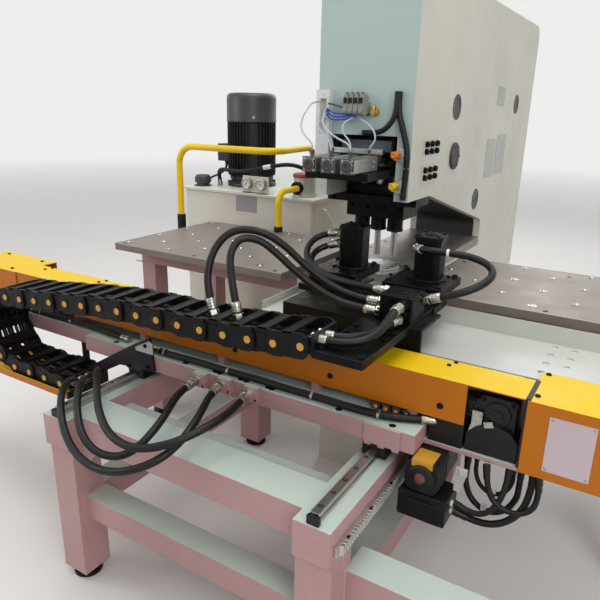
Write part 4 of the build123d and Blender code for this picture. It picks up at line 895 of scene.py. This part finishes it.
def add_press_details():
    """Bare plates on the flank, and the screws of guide, die and throat table."""
    plates = Form()
    tilt = Matrix.Rotation(math.radians(-1), 4, "X")
    for thick, y, z in ((1.2, (545, 700), (1190, 1372)), (1.6, (725, 905), (1195, 1388)),
                        (1.2, (650, 780), (1525, 1612))):
        plates.block((flank_right, flank_right + thick), y, z, tilt)
    plates.piece("flank_plates", "press", "aluminium", "plate_grey", 0.2)

    guide = Form()
    guide.screws((80, 145, 215, 280), -285, 1140, FRONT, 8, 8)
    guide.screws((20, 340), -330, 1174, FRONT, 9, 8)
    for x in punch_places:
        guide.turned((x, -240, 1052), DOWN, [(31, -6), (32, -4), (32, 2), (30, 4), (22, 4), (22, 2)], 32)
    guide.piece("guide_screws", "press", "black_steel")

    die = Form()
    for x, y in around(180, -240, 78, 6, math.tau / 12):
        die.screw((x, y, 904), UP, 6, 2)
    die.screws((80, 280), (-320, -165), 892, UP, 8, 6)
    die.piece("die_screws", "press", "black_steel")

    slots = Form()
    slots.screws((25, 335), (-120, 40, 200, 360), 897, UP, 8, 4)
    slots.piece("throat_table_screws", "press", "black_steel")


def add_air_cylinders():
    """End plates, screws and fittings of the air cylinders, with their rail and panel."""
    ends, fittings, caps = Form(), Form(), Form()
    mid = 1322
    for x in punch_places:
        for y, out in ((-671, -1), (-495, 1)):
            ends.screws((x - 18, x + 18), y, (mid - 18, mid + 18), (0, out, 0), 4.2, 3)
            caps.block((x - 25, x + 25), sorted((y, y + 1.2 * out)), (mid - 25, mid + 25))
        caps.turned((x, -672, mid), FRONT, [(20, 0), (20, 6.5), (17, 8), (9, 8), (8, 5.5), (0, 5.5)], 32)
        for y in (-650, -512):
            fittings.nut((x, y, 1346), (x, y, 1353), 7)
            fittings.turned((x, y, 1353), UP, [(4.6, 0), (4.6, 6), (6.4, 7), (6.4, 13), (3.2, 14), (3.2, 16),
                                               (0, 16)], 16)
        ends.turned((x, -495, 1323), BACK, [(15, 0), (15, 4), (12, 5), (8.6, 5)], 24)
    ends.piece("cylinder_screws", "ram", "bright_steel", "zinc", 0.3)
    caps.piece("cylinder_ends", "ram", "aluminium", "plug_steel", 0.8)
    fittings.piece("air_fittings", "ram", "fitting_plastic", "plug_steel", 0.2)
    rail = Form()
    rail.block((68, 270), (-447, -428), (1348, 1366))
    rail.screws((80, 258), -447, 1357, FRONT, 4, 3)
    rail.piece("air_rail", "ram", "aluminium", edge=0.6)
    panel = Form()
    panel.block((72, 288), (-372, -368), (1350, 1392))
    panel.block((72, 288), (-372, -340), (1350, 1353))
    panel.screws((84, 180, 276), -372, 1380, FRONT, 4, 2.5)
    panel.piece("cylinder_panel", "ram", "aluminium", "steel_blue")


# Oil unit


def add_motor():
    """Upright motor: flange, finned body, ventilated cowl and terminal box."""
    x, y = -1000, 540
    on_motor = dict(replaces=("pump_motor",))
    slim = Matrix.Translation((x, y, 0)) @ Matrix.Diagonal((motor_share, motor_share, 1, 1))
    fin_count, plain_fin = 44, 38
    plain_side = slim @ Matrix.Rotation(math.tau * plain_fin / fin_count, 4, "Z")
    body = Form(slim)
    body.turned((0, 0, tank_top), UP, [(0, 0), (175, 0), (175, 16), (172, 20), (150, 22), (150, 34),
                                       (156, 40), (156, 56), (149, 60), (149, 372), (0, 372)], 72)
    for px, py in around(0, 0, 163, 4, math.tau / 8):
        body.nut((px, py, tank_top + 19), (px, py, tank_top + 31), 12)
    for k in range(fin_count):
        if k in (22, 23, plain_fin - 1, plain_fin, plain_fin + 1):
            continue
        body.place = slim @ Matrix.Rotation(math.tau * k / fin_count, 4, "Z")
        body.prism([(146, 1112), (168, 1112), (171.5, 1122), (171.5, 1408), (168, 1414), (146, 1414)], "y",
                   (-2, 2))
    body.place = plain_side
    body.block((146, 166), (-24, 24), (1112, 1404))
    body.piece("motor_body", "press", "motor_paint", "motor_dark", 0.6, **on_motor)
    cowl = Form(slim)
    cowl.turned((0, 0, 1412), UP, [(172, 0), (175, 2), (175, 10), (173.5, 12), (173.5, 128), (170, 142),
                                   (160, 152), (146, 157), (128, 158), (126, 155), (0, 155)], 72)
    for r in (26, 50, 74, 98, 120):
        cowl.turned((0, 0, 1564), UP, [(r - 4, 2), (r - 4, 5), (r + 4, 5), (r + 4, 2)], 48)
    cowl.turned((0, 0, 1564), UP, [(14, 0), (14, 5.5), (0, 5.5)], 24)
    for px, py in around(0, 0, 173, 4, math.tau / 8):
        cowl.screw((px, py, 1424), (px, py, 0), 5, 2)
    for k in range(8):
        cowl.place = slim @ Matrix.Rotation(math.tau * k / 8, 4, "Z")
        cowl.block((8, 128), (-3, 3), (1565, 1569.5))
    cowl.piece("motor_cowl", "press", "motor_paint", **on_motor)
    bolt = Form(plain_side)
    bolt.turned((172, 0, 1436), RIGHT, [(9, 0), (9, 6), (6, 9), (0, 9)], 20)
    bolt.piece("motor_bolt", "press", "motor_paint", "zinc", 0.3)
    box = Form(slim)
    box.block((-272, -181), (-48, 48), (1182, 1282))
    box.block((-275, -178), (-50, 50), (1216, 1222))
    box.block((-190, -138), (-35, 35), (1200, 1270))
    box.screws(-272, (-40, 40), (1192, 1272), LEFT, 4, 2.5)
    box.turned((-230, 0, 1184), DOWN, [(15, 0), (15, 8), (12, 9), (12, 22), (0, 22)], 24)
    box.piece("motor_terminal_box", "press", "motor_paint", "motor_dark", 1.2, **on_motor)


def add_tank_fittings():
    """Filler cap, gauges and return filter on the tank's top."""
    on_tank = dict(replaces=("tank_fittings",))
    x, y = -1200, 330
    cap = Form()
    cap.turned((x, y, tank_top), UP, [(52, 0), (52, 4), (37, 5), (37, 18), (45, 20), (45, 50), (43, 56),
                                      (34, 63), (12, 65), (0, 65)], 40)
    for px, py in around(x, y, 45, 20):
        cap.rod((px, py, 1071), (px, py, 1098), 2.4, sides=8)
    cap.piece("filler_cap", "press", "black_steel", "plug_steel", **on_tank)

    panel = Form()
    panel.block((-855, -685), (255, 261), (tank_top, 1140))
    panel.block((-855, -685), (255, 305), (tank_top, 1055))
    panel.screws((-845, -695), 255, 1128, FRONT, 4, 2.5)
    panel.piece("gauge_panel", "press", "fitting_plastic", "cream_paint", 0.6, **on_tank)
    rims, dials, needles = Form(), Form(), Form()
    for x, angle in ((-815, 2.2), (-723, 0.9)):
        rims.turned((x, 255, gauge_height), FRONT, [(29, 0), (29, 18), (31, 20), (31, 25), (29, 26), (26, 26),
                                                    (26, 22), (0, 22)], 40)
        dials.turned((x, 233.5, gauge_height), FRONT, [(26, 0), (26, 0.6), (0, 0.6)], 40)
        middle = Matrix.Translation((x, 0, gauge_height))
        for k in range(11):
            needles.place = middle @ Matrix.Rotation(math.radians(-45 + 27 * k), 4, "Y")
            needles.block((-23, -18 if k % 5 else -15), (231.8, 233), (-0.7, 0.7))
        needles.place = middle @ Matrix.Rotation(angle, 4, "Y")
        needles.prism([(-20, -0.4), (6, -1.6), (6, 1.6), (-20, 0.4)], "y", (231, 232.2))
        needles.place = middle
        needles.turned((0, 232.2, 0), FRONT, [(3, 0), (3, 2), (0, 2)], 16)
    rims.piece("gauge_rims", "press", "bright_steel", "zinc", 0.4, **on_tank)
    dials.piece("gauge_dials", "press", "fitting_plastic", "dial_white", 0, **on_tank)
    needles.piece("gauge_needles", "press", "black_steel", "black_paint", 0, **on_tank)

    x, y = -505, 330
    base, top = Form(), Form()
    base.turned((x, y, tank_top), UP, [(62, 0), (62, 12), (55, 14), (55, 92), (58, 94), (58, 104),
                                       (0, 104)], 48)
    for px, py in around(x, y, 57, 4, math.tau / 8):
        base.screw((px, py, 1061), UP, 5, 6)
    base.piece("filter_body", "press", "fitting_plastic", "aluminium", 0.6, **on_tank)
    top.turned((x, y, 1148), UP, [(56, 0), (62, 2), (62, 14), (58, 20), (46, 23), (20, 24), (0, 24)], 48)
    for px, py in around(x, y, 61, 28):
        top.rod((px, py, 1151), (px, py, 1161), 2, sides=8)
    top.piece("filter_cap", "press", "fitting_plastic", "red", 0.4, **on_tank)

    valves = Form()
    for y in (510, 570):
        for out, x in ((-1, -605), (1, -395)):
            valves.turned((x - out * 40, y, 1201), (out, 0, 0), [(16, 0), (17.6, 2), (17.6, 34), (14, 38),
                                                               (9, 39), (9, 42), (0, 42)], 28)
            valves.block(sorted((x - out * 34, x - out * 16)), (y - 12, y + 12), (1214, 1234))
        valves.screws((-528, -472), (y - 14, y + 14), 1221, UP, 4.5, 4)
    valves.piece("valve_coils_tank", "press", "black_steel", "rubber", 0.6)


def add_tank_trim():
    """Door, handle, bare plate and level glass of the tank, and the fittings of its tubes."""
    door = Form()
    door.block((-400, -398.4), (262, 560), (300, 1010))
    door.piece("tank_door", "press", "cream_paint", edge=0.8)
    plate = Form()
    plate.block((-891, -750), (238.8, 240), (946, 1032))
    plate.piece("tank_plate", "press", "aluminium", "plate_lilac", 0.2)
    handle = Form()
    handle.strip([(-399, 334, 990), (-378, 334, 990), (-376, 340, 984), (-376, 440, 888), (-378, 446, 882),
                  (-399, 446, 882)], 5.5)
    handle.screws(-398.4, (278, 544), (330, 980), RIGHT, 6, 3)
    handle.block((-1240, -1205), (232, 241), (560, 760))
    handle.piece("tank_handle", "press", "fitting_plastic", "dial_white", 0.4)
    glass = Form()
    glass.block((-1229, -1216), (230.4, 233), (585, 735))
    glass.piece("level_glass", "press", "fitting_plastic", "dial_white", 0.4)
    flange = Form()
    flange.turned((-514, 306, 1098), FRONT, [(33, 0), (33, 48), (30, 52), (24, 52)], 36)
    for x, z in around(-514, 1098, 27, 4, math.tau / 8):
        flange.screw((x, 254, z), FRONT, 4, 3)
    flange.piece("pipe_flange", "press", "black_steel")
    sleeves = Form()
    sleeves.turned((-1041, -37, 866), UP, [(22.4, 0), (22.4, 82), (20, 84), (17, 84)], 32)
    sleeves.turned((-505, 80, 900.4), UP, [(22, 0), (22, 24), (20, 26), (17, 26)], 32)
    sleeves.piece("guard_sleeves", "press", "black_steel", "rubber", 0.3)


# Carriage


def add_clamp_details():
    """Bolts, cylinder caps and jaw teeth of the two clamps."""
    screws, caps = Form(), Form()
    y = -532
    for x, left, right in ((222, 128, 274), (500, 404, 572)):
        for bolt_x in (left, right):
            for bolt_y in (-639, -471):
                screws.turned((bolt_x, bolt_y, 965), UP, [(12, 0), (12, 1.4), (0, 1.4)], 24)
                screws.screw((bolt_x, bolt_y, 966), UP, 9, 9)
        screws.screws((x - 32, x + 32), (y - 32, y + 32), 1112, UP, 6, 5)
        screws.screws((x - 52, x + 52), (-580, -482), 965, UP, 6, 6)
        caps.turned((x, y, 1112), UP, [(22, 0), (22, 3), (20, 4), (9, 4), (9, 1.5), (0, 1.5)], 36)
        caps.turned((x, y, 964), UP, [(0, 0), (62, 0), (62, 5), (60, 7), (47, 8)], 48)
        for step in range(5):
            tooth = -592 + 24 * step
            caps.block((x - 50, x + 50), (tooth, tooth + 12), (913.4, 914.2))
    screws.piece("clamp_screws", "carriage", "black_steel", edge=0.4)
    caps.piece("clamp_caps", "carriage", "black_steel", edge=0.4)


def add_carriage_details():
    """Screws of the carriage and the plate that the chain ends on."""
    screws = Form()
    screws.screws((460, 570), (-1180, -1040, -985, -760), 925, UP, 8, 7)
    screws.screws((320, 350, 375), (-695, -620), 925, UP, 7, 6)
    screws.screws((500, 568), (-878, -804), 999, UP, 5.5, 4)
    screws.turned((534, -841, 999), UP, [(13, 0), (13, 3), (11, 4), (6, 4), (6, 1), (0, 1)], 28)
    screws.screws((190, 330, 470, 590), -868, (728, 822), BACK, 5, 4)
    screws.screws(430, range(-1185, -1084, 20), 960, LEFT, 3.4, 2)
    screws.piece("carriage_screws", "carriage", "black_steel")
    wiper = Form()
    wiper.block((437, 445), (-1196, -1070), (904, 962))
    wiper.block((430, 438), (-1204, -1062), (912, 922))
    wiper.piece("chain_end_plate", "carriage", "black_steel", "black_paint", 0.6)


# Beam


def add_cover_details():
    """Screws, gap strip and bare plate of the beam's cover and caps."""
    screws = Form()
    for x, top_x in ((-960, -980), (-640, -660), (-300, -330), (60, 20), (400, 380), (725, 712)):
        screws.turned((x, -1014, 770), FRONT, [(9, 0), (9, 1), (0, 1)], 22)
        screws.screw((x, -1015, 770), FRONT, 7, 4)
        screws.screw((top_x, -924, cover_top), UP, 6, 3.6)
        screws.screw((top_x + 10, -896, cover_top), UP, 6, 3.6)
    screws.screws((950, 1320), (-981, -835), cover_top, UP, 7, 4)
    screws.screws((-1330, -1100), (-990, -850), cover_top, UP, 7, 4)
    screws.piece("cover_screws", "beam", "black_steel")

    gap = Form()
    gap.block((929, 941), (-1015, -888), (843, 848.6))
    gap.block((929, 941), (-1016.5, -1010), (662, 848.6))
    gap.piece("cover_gap_strip", "beam", "black_paint", edge=0.6)

    plate, rivets = Form(), Form()
    plate.block((988, 1092), (-1019.4, -1018), (676, 821))
    plate.piece("cap_plate", "beam", "aluminium", "plate_pink", 0.2)
    for x in (995, 1085):
        for z in (683, 814):
            rivets.turned((x, -1019, z), FRONT, [(3.4, 0), (3, 1.2), (0, 1.8)], 14)
    rivets.piece("cap_plate_rivets", "beam", "aluminium", "zinc", 0)


def add_ledge_details():
    """Ports, holes drawn as discs of painted shade, conduit clips and runner skirt on the beam's ledge."""
    ports, nuts = Form(), Form()
    for route in lower_hoses:
        x, _, z = route[-1]
        ports.block((x - 24, x + 24), (-1110, -1087), (z - 26, z + 20))
        ports.turned((x, -1110, z), FRONT, [(18, 0), (18, 3), (0, 3)], 28)
        nuts.screws((x - 17, x + 17), -1110, z - 18, FRONT, 3.6, 2.6)
        nuts.turned((x + 34, -1064, 705), UP, [(11, 0), (11, 1.6), (7, 2), (7, 0.6), (0, 0.6)], 24)
    # The ports take the frame look, with its painted reflection, painted shade and painted lit top.
    ports.piece("ledge_ports", "beam", "cream_paint", "frame_paint_and_painted_light", 1)
    nuts.piece("ledge_port_screws", "beam", "black_steel")

    # The holes are flat black discs: painted shade standing for open holes.
    slots = Form()
    for x in (41, 142, 237, -420, -100, 460, 620):
        slots.turned((x, -1068, 704.4), UP, [(10, 0), (10, 0.9), (0, 0.9)], 28)
    slots.piece("ledge_hole_shade", "beam", "black_paint", edge=0)

    clips = Form()
    for x, y in ((-195, -1063), (70, -1063), (370, -1061), (575, -1057)):
        clips.turned((x - 4, y, 718), RIGHT, [(11.4, 0), (12.6, 1), (12.6, 7), (11.4, 8)], 22)
        clips.block((x - 5, x + 5), (y + 8, y + 24), (705, 710))
        clips.screw((x, y + 19, 710), UP, 3.6, 3)
    for x in (-880, -700):
        clips.turned((x - 4, -1031.5, 714), RIGHT, [(10.4, 0), (11.6, 1), (11.6, 7), (10.4, 8)], 22)
        clips.block((x - 5, x + 5), (-1030, -1018), (698, 705))
        clips.block((x - 5, x + 5), (-1021, -1018), (676, 705))
    clips.piece("conduit_clips", "beam", "bright_steel", "zinc", 0.3)
    skirt = Form()
    skirt.block((548, 652), (-1092, -1087), (648, 704))
    for x in (560, 600, 640):
        skirt.block((x - 9, x + 9), (-1092, -1087), (642, 648))
    # The skirt takes the frame look, with its painted reflection, painted shade and painted lit top.
    skirt.piece("runner_skirt", "beam", "cream_paint", "frame_paint_and_painted_light", 0.6)


def add_x_drive_details():
    """Angle gearbox behind the beam's open end, with its guard, and the terminals under the cover."""
    box, screws, shiny = Form(), Form(), Form()
    x, y, z = 865, -991, 775
    screws.screws((x - 36, x + 36), y, (z - 36, z + 36), FRONT, 5, 4)
    box.turned((x, y, z), FRONT, [(34, 0), (34, 4), (30, 6), (16, 6), (14, 4), (0, 4)], 40)
    box.turned((812, -963, z), LEFT, [(31, -2), (31, 6), (28, 8)], 36)
    for z in (757, 793):
        box.block((676, 806), (-992.5, -989), (z - 4, z + 4))
    box.prism([(796, 664), (926, 664), (926, 716), (900, 742), (862, 750), (820, 738), (796, 712)], "y",
              (-1006, -940))
    shiny.block((806, 832), (-1003, -996), (742, 778))
    shiny.block((802, 822), (-1004, -1001), (700, 746), Matrix.Rotation(0.25, 4, "Y"))
    shiny.block((838, 862), (-1008, -1004), (742, 758), Matrix.Rotation(-0.3, 4, "Y"))
    box.piece("x_drive_details", "beam", "black_paint", edge=1.2)
    screws.piece("x_drive_screws", "beam", "black_steel")
    shiny.piece("x_drive_bracket", "beam", "bright_steel", "zinc", 0.4)

    sensors, red = Form(), Form()
    for x in (545, 575, 605, 635):
        sensors.block((x - 11, x + 11), (-1012, -1000), (706, 728))
        red.turned((x, -1012, 716), FRONT, [(6, 0), (6, 4), (4, 6), (0, 6)], 14)
    sensors.piece("beam_terminals", "beam", "black_paint", "plug_steel", 0.6)
    red.piece("beam_terminal_caps", "beam", "fitting_plastic", "orange", 0.3)


def add_y_drive_details():
    """Servo end, junction box lid, bracket, terminal and plugs of the cross drive."""
    servo, ochre = Form(), Form()
    servo.turned((721, -1108, 602), FRONT, [(36, 0), (36, 2), (32, 5), (14, 6), (12, 4), (0, 4)], 40)
    for y in (-1084, -1062, -1040):
        servo.block((674.5, 767.5), (y - 2, y + 2), (575, 629))
    servo.screws((668, 780), -1095, (480, 538), FRONT, 4.5, 3)
    servo.block((690, 760), (-1100, -1095), (486, 530))
    servo.piece("y_drive_details", "beam", "black_paint", edge=0.8)
    ochre.block((692, 748), (-1100, -1040), (646, 649.5))
    ochre.block((692, 748), (-1102, -1098), (630, 649.5))
    ochre.piece("y_drive_bracket", "beam", "yellow_paint", "ochre", 0.6)
    disc = Form()
    disc.turned((721, -1111, 606), FRONT, [(14, 0), (14, 3), (12, 4), (0, 4)], 30)
    disc.piece("y_drive_disc", "beam", "fitting_plastic", "brown", 0.3)
    pale = Form()
    pale.block((792, 822), (-1064, -1060), (588, 640), Matrix.Rotation(0.2, 4, "Y"))
    pale.block((806, 826), (-1070, -1058), (622, 640))
    pale.block((796, 812), (-1068, -1060), (574, 590))
    pale.piece("y_drive_terminal", "beam", "fitting_plastic", "plate_grey", 0.6)
    plugs = Form()
    for x, z in ((884, 576), (866, 516)):
        plugs.block((x - 7, x + 7), (-1017, -1007), (z - 9, z + 9))
    for z in (500, 522):
        plugs.turned((790, -1050, z), RIGHT, [(9, 0), (9, 5), (7, 6), (7, 20), (0, 20)], 18)
    plugs.piece("y_drive_plugs", "beam", "fitting_plastic")


def add_brackets():
    """Screws and packing plate of the bracket that carries the chain's tray."""
    screws, pale = Form(), Form()
    for x, z in ((-245, 742), (-240, 668), (-330, 650), (-470, 592), (-520, 560)):
        screws.screw((x, -1099, z), FRONT, 7, 6)
    screws.piece("chain_bracket_screws", "beam", "black_steel")
    pale.prism([(-290, 716), (-212, 716), (-214, 754), (-226, 762), (-292, 728)], "y", (-1101, -1099))
    pale.piece("chain_bracket_plate", "beam", "aluminium", "plate_grey", 0.3)


# Base and tables


def add_rail_details():
    """Rail bolts and stops on the base, and the seals of the runner blocks."""
    bolts, stops, runner = Form(), Form(), Form()
    for x in cross_rails:
        for k in range(15):
            bolts.turned((x, -1370 + hole_pitch * k, 627.6), UP, [(6.4, 0), (6.4, 0.5), (5.2, 0.9), (3, 0.9),
                                                                  (3, 0.2), (0, 0.2)], 20)
        for y in (-1404, -496):
            stops.block((x - 16, x + 16), (y - 6, y + 6), (600, 622))
            stops.screw((x, y, 622), UP, 5, 4)
        for start in (-1081, -985):
            for y in (start - 4, start + 90):
                runner.prism([(x - 33, 607), (x - 33, 646), (x + 33, 646), (x + 33, 607), (x + 15, 607),
                              (x + 15, 630), (x - 15, 630), (x - 15, 607)], "y", (y, y + 4))
            runner.screws((x - 26, x + 26), (start + 16, start + 74), 646, UP, 5, 3.6)
            runner.turned((x + 35, start + 45, 620), RIGHT, [(4, 0), (4, 4), (2.4, 6), (2.4, 9), (0, 9)], 12)
    bolts.screws(642, range(-1350, -729, 124), 556, UP, 4.4, 3)
    bolts.piece("rail_bolts", "press", "black_steel")
    stops.piece("rail_stops", "press", "black_steel", "black_paint", 0.6)
    runner.piece("runner_seals", "beam", "black_steel", "rubber", 0.4)


def weld(form, start, end, r=4.5):
    """Rippled weld bead along an inner corner."""
    start, end = Vector(start), Vector(end)
    line = end - start
    count = max(2, int(line.length / 7))
    turn = line.to_track_quat("Z", "Y").to_matrix().to_4x4()
    for k in range(count):
        spot = start + line * ((k + 0.5) / count)
        where = form.place @ Matrix.Translation(spot) @ turn @ Matrix.Diagonal((1, 1, 1.3, 1))
        bmesh.ops.create_icosphere(form.mesh, subdivisions=1, radius=r, matrix=where)


def add_welds():
    """Weld beads at the base's legs, the outrigger and the tables' supports."""
    beads = Form()
    for x0, x1 in ((-366, -266), (528, 628)):
        inner = x1 if x0 < 0 else x0
        for y in (-1369, -1249):
            weld(beads, (inner, y, 505), (inner, y, 598))
        weld(beads, (x0, -1300, 500), (x1, -1300, 500))
        weld(beads, (x0, -1400, 500), (x1, -1400, 500), 3)
        for z in (238, 318):
            weld(beads, (x0 + 10, -1300, z), (x1 - 10, -1300, z))
            weld(beads, (inner, -1369, z), (inner, -1292, z))
    for y in (-1330, -1230):
        weld(beads, (628, y, 342), (628, y, 438))
    weld(beads, (628, -1328, 440), (628, -1232, 440))
    weld(beads, (900, -1330, 340), (1000, -1330, 340), 3)
    for x in (-929.5, 1289.5):
        for y in (-440, -360, 0, 80):
            weld(beads, (x - 40, y, 790), (x + 40, y, 790), 3)
    # The beads take the frame look, with its painted reflection, painted shade and painted lit top.
    beads.piece("weld_beads", "press", "cream_paint", "frame_paint_and_painted_light", 0)


foot_places = ((-316, -1350), (578, -1350), (-316, -380), (578, -380), (950, -1280), (-889.5, -400),
               (-889.5, 40), (1249.5, -400), (1249.5, 40), (-1210, 290), (-1210, 750), (-450, 290),
               (-450, 750))


def add_feet():
    """Nuts and rubber pads of the levelling feet."""
    nuts, pads = Form(), Form()
    for x, y in foot_places:
        nuts.nut((x, y, 20), (x, y, 29.8), 18)
        pads.turned((x, y, 0), UP, [(45.6, 0), (46, 3), (44, 9), (30, 12.4), (16, 13), (13, 15),
                                    (13, 20)], 40)
    nuts.piece("foot_nuts", "press", "bright_steel", "zinc", 0.4)
    pads.piece("foot_pads", "press", "black_steel", "rubber", 0.3)


def add_table_details():
    """Screws and ball rims of both tables, and the fixings of the guard tube."""
    screws, pins = Form(), Form()
    margin, column_step, row_step = 36, 121.5, 99
    for low, high, front in ((-954.5, -60, -574), (420, 1314.5, -480)):
        for x in (low + 40, (low + high) / 2, high - 40):
            for y in (front + 22, 30):
                screws.turned((x, y, 900.1), UP, [(9, 0), (9, 0.3), (4.6, 0.3), (4.6, -0.05), (0, -0.05)], 24)
        for row in range(int((104 - front - 2 * margin) / row_step) + 1):
            for column in range(row % 2, int((high - low - 2 * margin) / column_step) + 1, 2):
                x, y = low + margin + column * column_step, 68 - row * row_step
                for px, py in around(x, y, 11, 3, 0.4):
                    pins.turned((px, py, 901.5), UP, [(1.6, 0), (1.6, 0.4), (0.8, 0.4), (0.8, 0.1),
                                                      (0, 0.1)], 10)
                pins.turned((x, y, 901.4), UP, [(9.6, 0), (9.6, 0.7), (8.6, 0.7)], 24)
    screws.piece("table_screws", "press", "black_steel")
    pins.piece("ball_unit_pins", "press", "chrome_ball", "zinc", 0)
    joints = Form()
    for x in (-1065, -1017):
        for y in (-61, -13):
            joints.nut((x, y, 862), (x, y, 869), 6)
    joints.turned((-510, 430, tank_top), UP, [(30, 0), (30, 6), (17, 7)], 32)
    joints.piece("guard_fixings", "press", "yellow_paint", "guard_yellow", 0.4)


# Floor and light

floor_radius = 40
floor_colour = (224, 222, 218)
background = (238, 238, 236)
room_colour = (236, 238, 242)
room_light = 0.48
lamps = (
    ("overhead", (0.3, -0.6, 7.5), (0, -0.3, 0.8), 6.5, 330),
    ("front_right", (4.2, -4.0, 3.4), (0.2, -0.6, 0.9), 3.0, 115),
    ("front_left", (-4.5, -3.6, 3.0), (-0.2, -0.4, 0.9), 3.0, 70),
    ("back", (-1.0, 5.0, 3.8), (0, 0.6, 1.0), 3.5, 60),
)


def make_floor():
    """Pale round floor that fades into the background."""
    data = bpy.data.meshes.new("floor")
    shape = bmesh.new()
    bmesh.ops.create_circle(shape, cap_ends=True, segments=96, radius=floor_radius)
    shape.to_mesh(data)
    shape.free()
    floor = bpy.data.objects.new("floor", data)
    bpy.context.scene.collection.objects.link(floor)
    tree = Tree("floor")
    grain = tree.ramp(tree.noise(3, 5), 0.35, 0.7, 0, 0.25)
    near = tree.mix(grain, linear(floor_colour), linear(tuple(c - 8 for c in floor_colour)))
    tree.colour(near)
    tree.rough(0.6)
    length = tree.add("ShaderNodeVectorMath", operation="LENGTH")
    tree.join(tree.place, length.inputs[0])
    far = tree.ramp(length.outputs["Value"], 4.5, 16)
    paths = tree.add("ShaderNodeLightPath")
    seen = tree.math("MAXIMUM", paths.outputs["Is Camera Ray"], paths.outputs["Is Glossy Ray"])
    glow = tree.add("ShaderNodeEmission")
    glow.inputs["Color"].default_value = linear(background)
    blend = tree.add("ShaderNodeMixShader")
    tree.join(tree.math("MULTIPLY", far, seen), blend.inputs["Fac"])
    tree.join(tree.shader.outputs["BSDF"], blend.inputs[1])
    tree.join(glow.outputs["Emission"], blend.inputs[2])
    tree.join(blend.outputs["Shader"], tree.tree.nodes["Material Output"].inputs["Surface"])
    data.materials.append(tree.material)


def make_world():
    """Pale room: seen at full strength, and softer as light."""
    world = bpy.data.worlds.new("world")
    world.use_nodes = True
    bpy.context.scene.world = world
    tree = world.node_tree
    seen = tree.nodes["Background"]
    seen.inputs["Color"].default_value = linear(background)
    light = tree.nodes.new("ShaderNodeBackground")
    light.inputs["Color"].default_value = linear(room_colour)
    light.inputs["Strength"].default_value = room_light
    paths = tree.nodes.new("ShaderNodeLightPath")
    direct = paths.outputs["Is Camera Ray"]
    for ray in ("Is Transmission Ray", "Is Glossy Ray"):
        either = tree.nodes.new("ShaderNodeMath")
        either.operation = "MAXIMUM"
        tree.links.new(direct, either.inputs[0])
        tree.links.new(paths.outputs[ray], either.inputs[1])
        direct = either.outputs[0]
    blend = tree.nodes.new("ShaderNodeMixShader")
    for source, target in ((direct, blend.inputs["Fac"]), (light.outputs["Background"], blend.inputs[1]),
                           (seen.outputs["Background"], blend.inputs[2]),
                           (blend.outputs["Shader"], tree.nodes["World Output"].inputs["Surface"])):
        tree.links.new(source, target)


def make_lamp(name, place, aim, size, power):
    """Round soft lamp that points at a spot."""
    data = bpy.data.lights.new(name, "AREA")
    data.shape = "DISK"
    data.size = size
    data.energy = power
    lamp = bpy.data.objects.new(name, data)
    lamp.location = place
    lamp.rotation_mode = "QUATERNION"
    lamp.rotation_quaternion = (Vector(aim) - Vector(place)).to_track_quat("-Z", "Y")
    bpy.context.scene.collection.objects.link(lamp)


def light_scene():
    """World and lamps."""
    make_world()
    for lamp in lamps:
        make_lamp(*lamp)


make_camera()
paint_nodes()
add_hoses()
add_air_tubes()
add_chain()
add_head()
add_flanks()
add_press_details()
add_air_cylinders()
add_motor()
add_tank_fittings()
add_tank_trim()
add_clamp_details()
add_carriage_details()
add_cover_details()
add_ledge_details()
add_x_drive_details()
add_y_drive_details()
add_brackets()
add_rail_details()
add_welds()
add_feet()
add_table_details()
make_floor()
light_scene()

scene = bpy.context.scene
scene.view_settings.view_transform = "Standard"
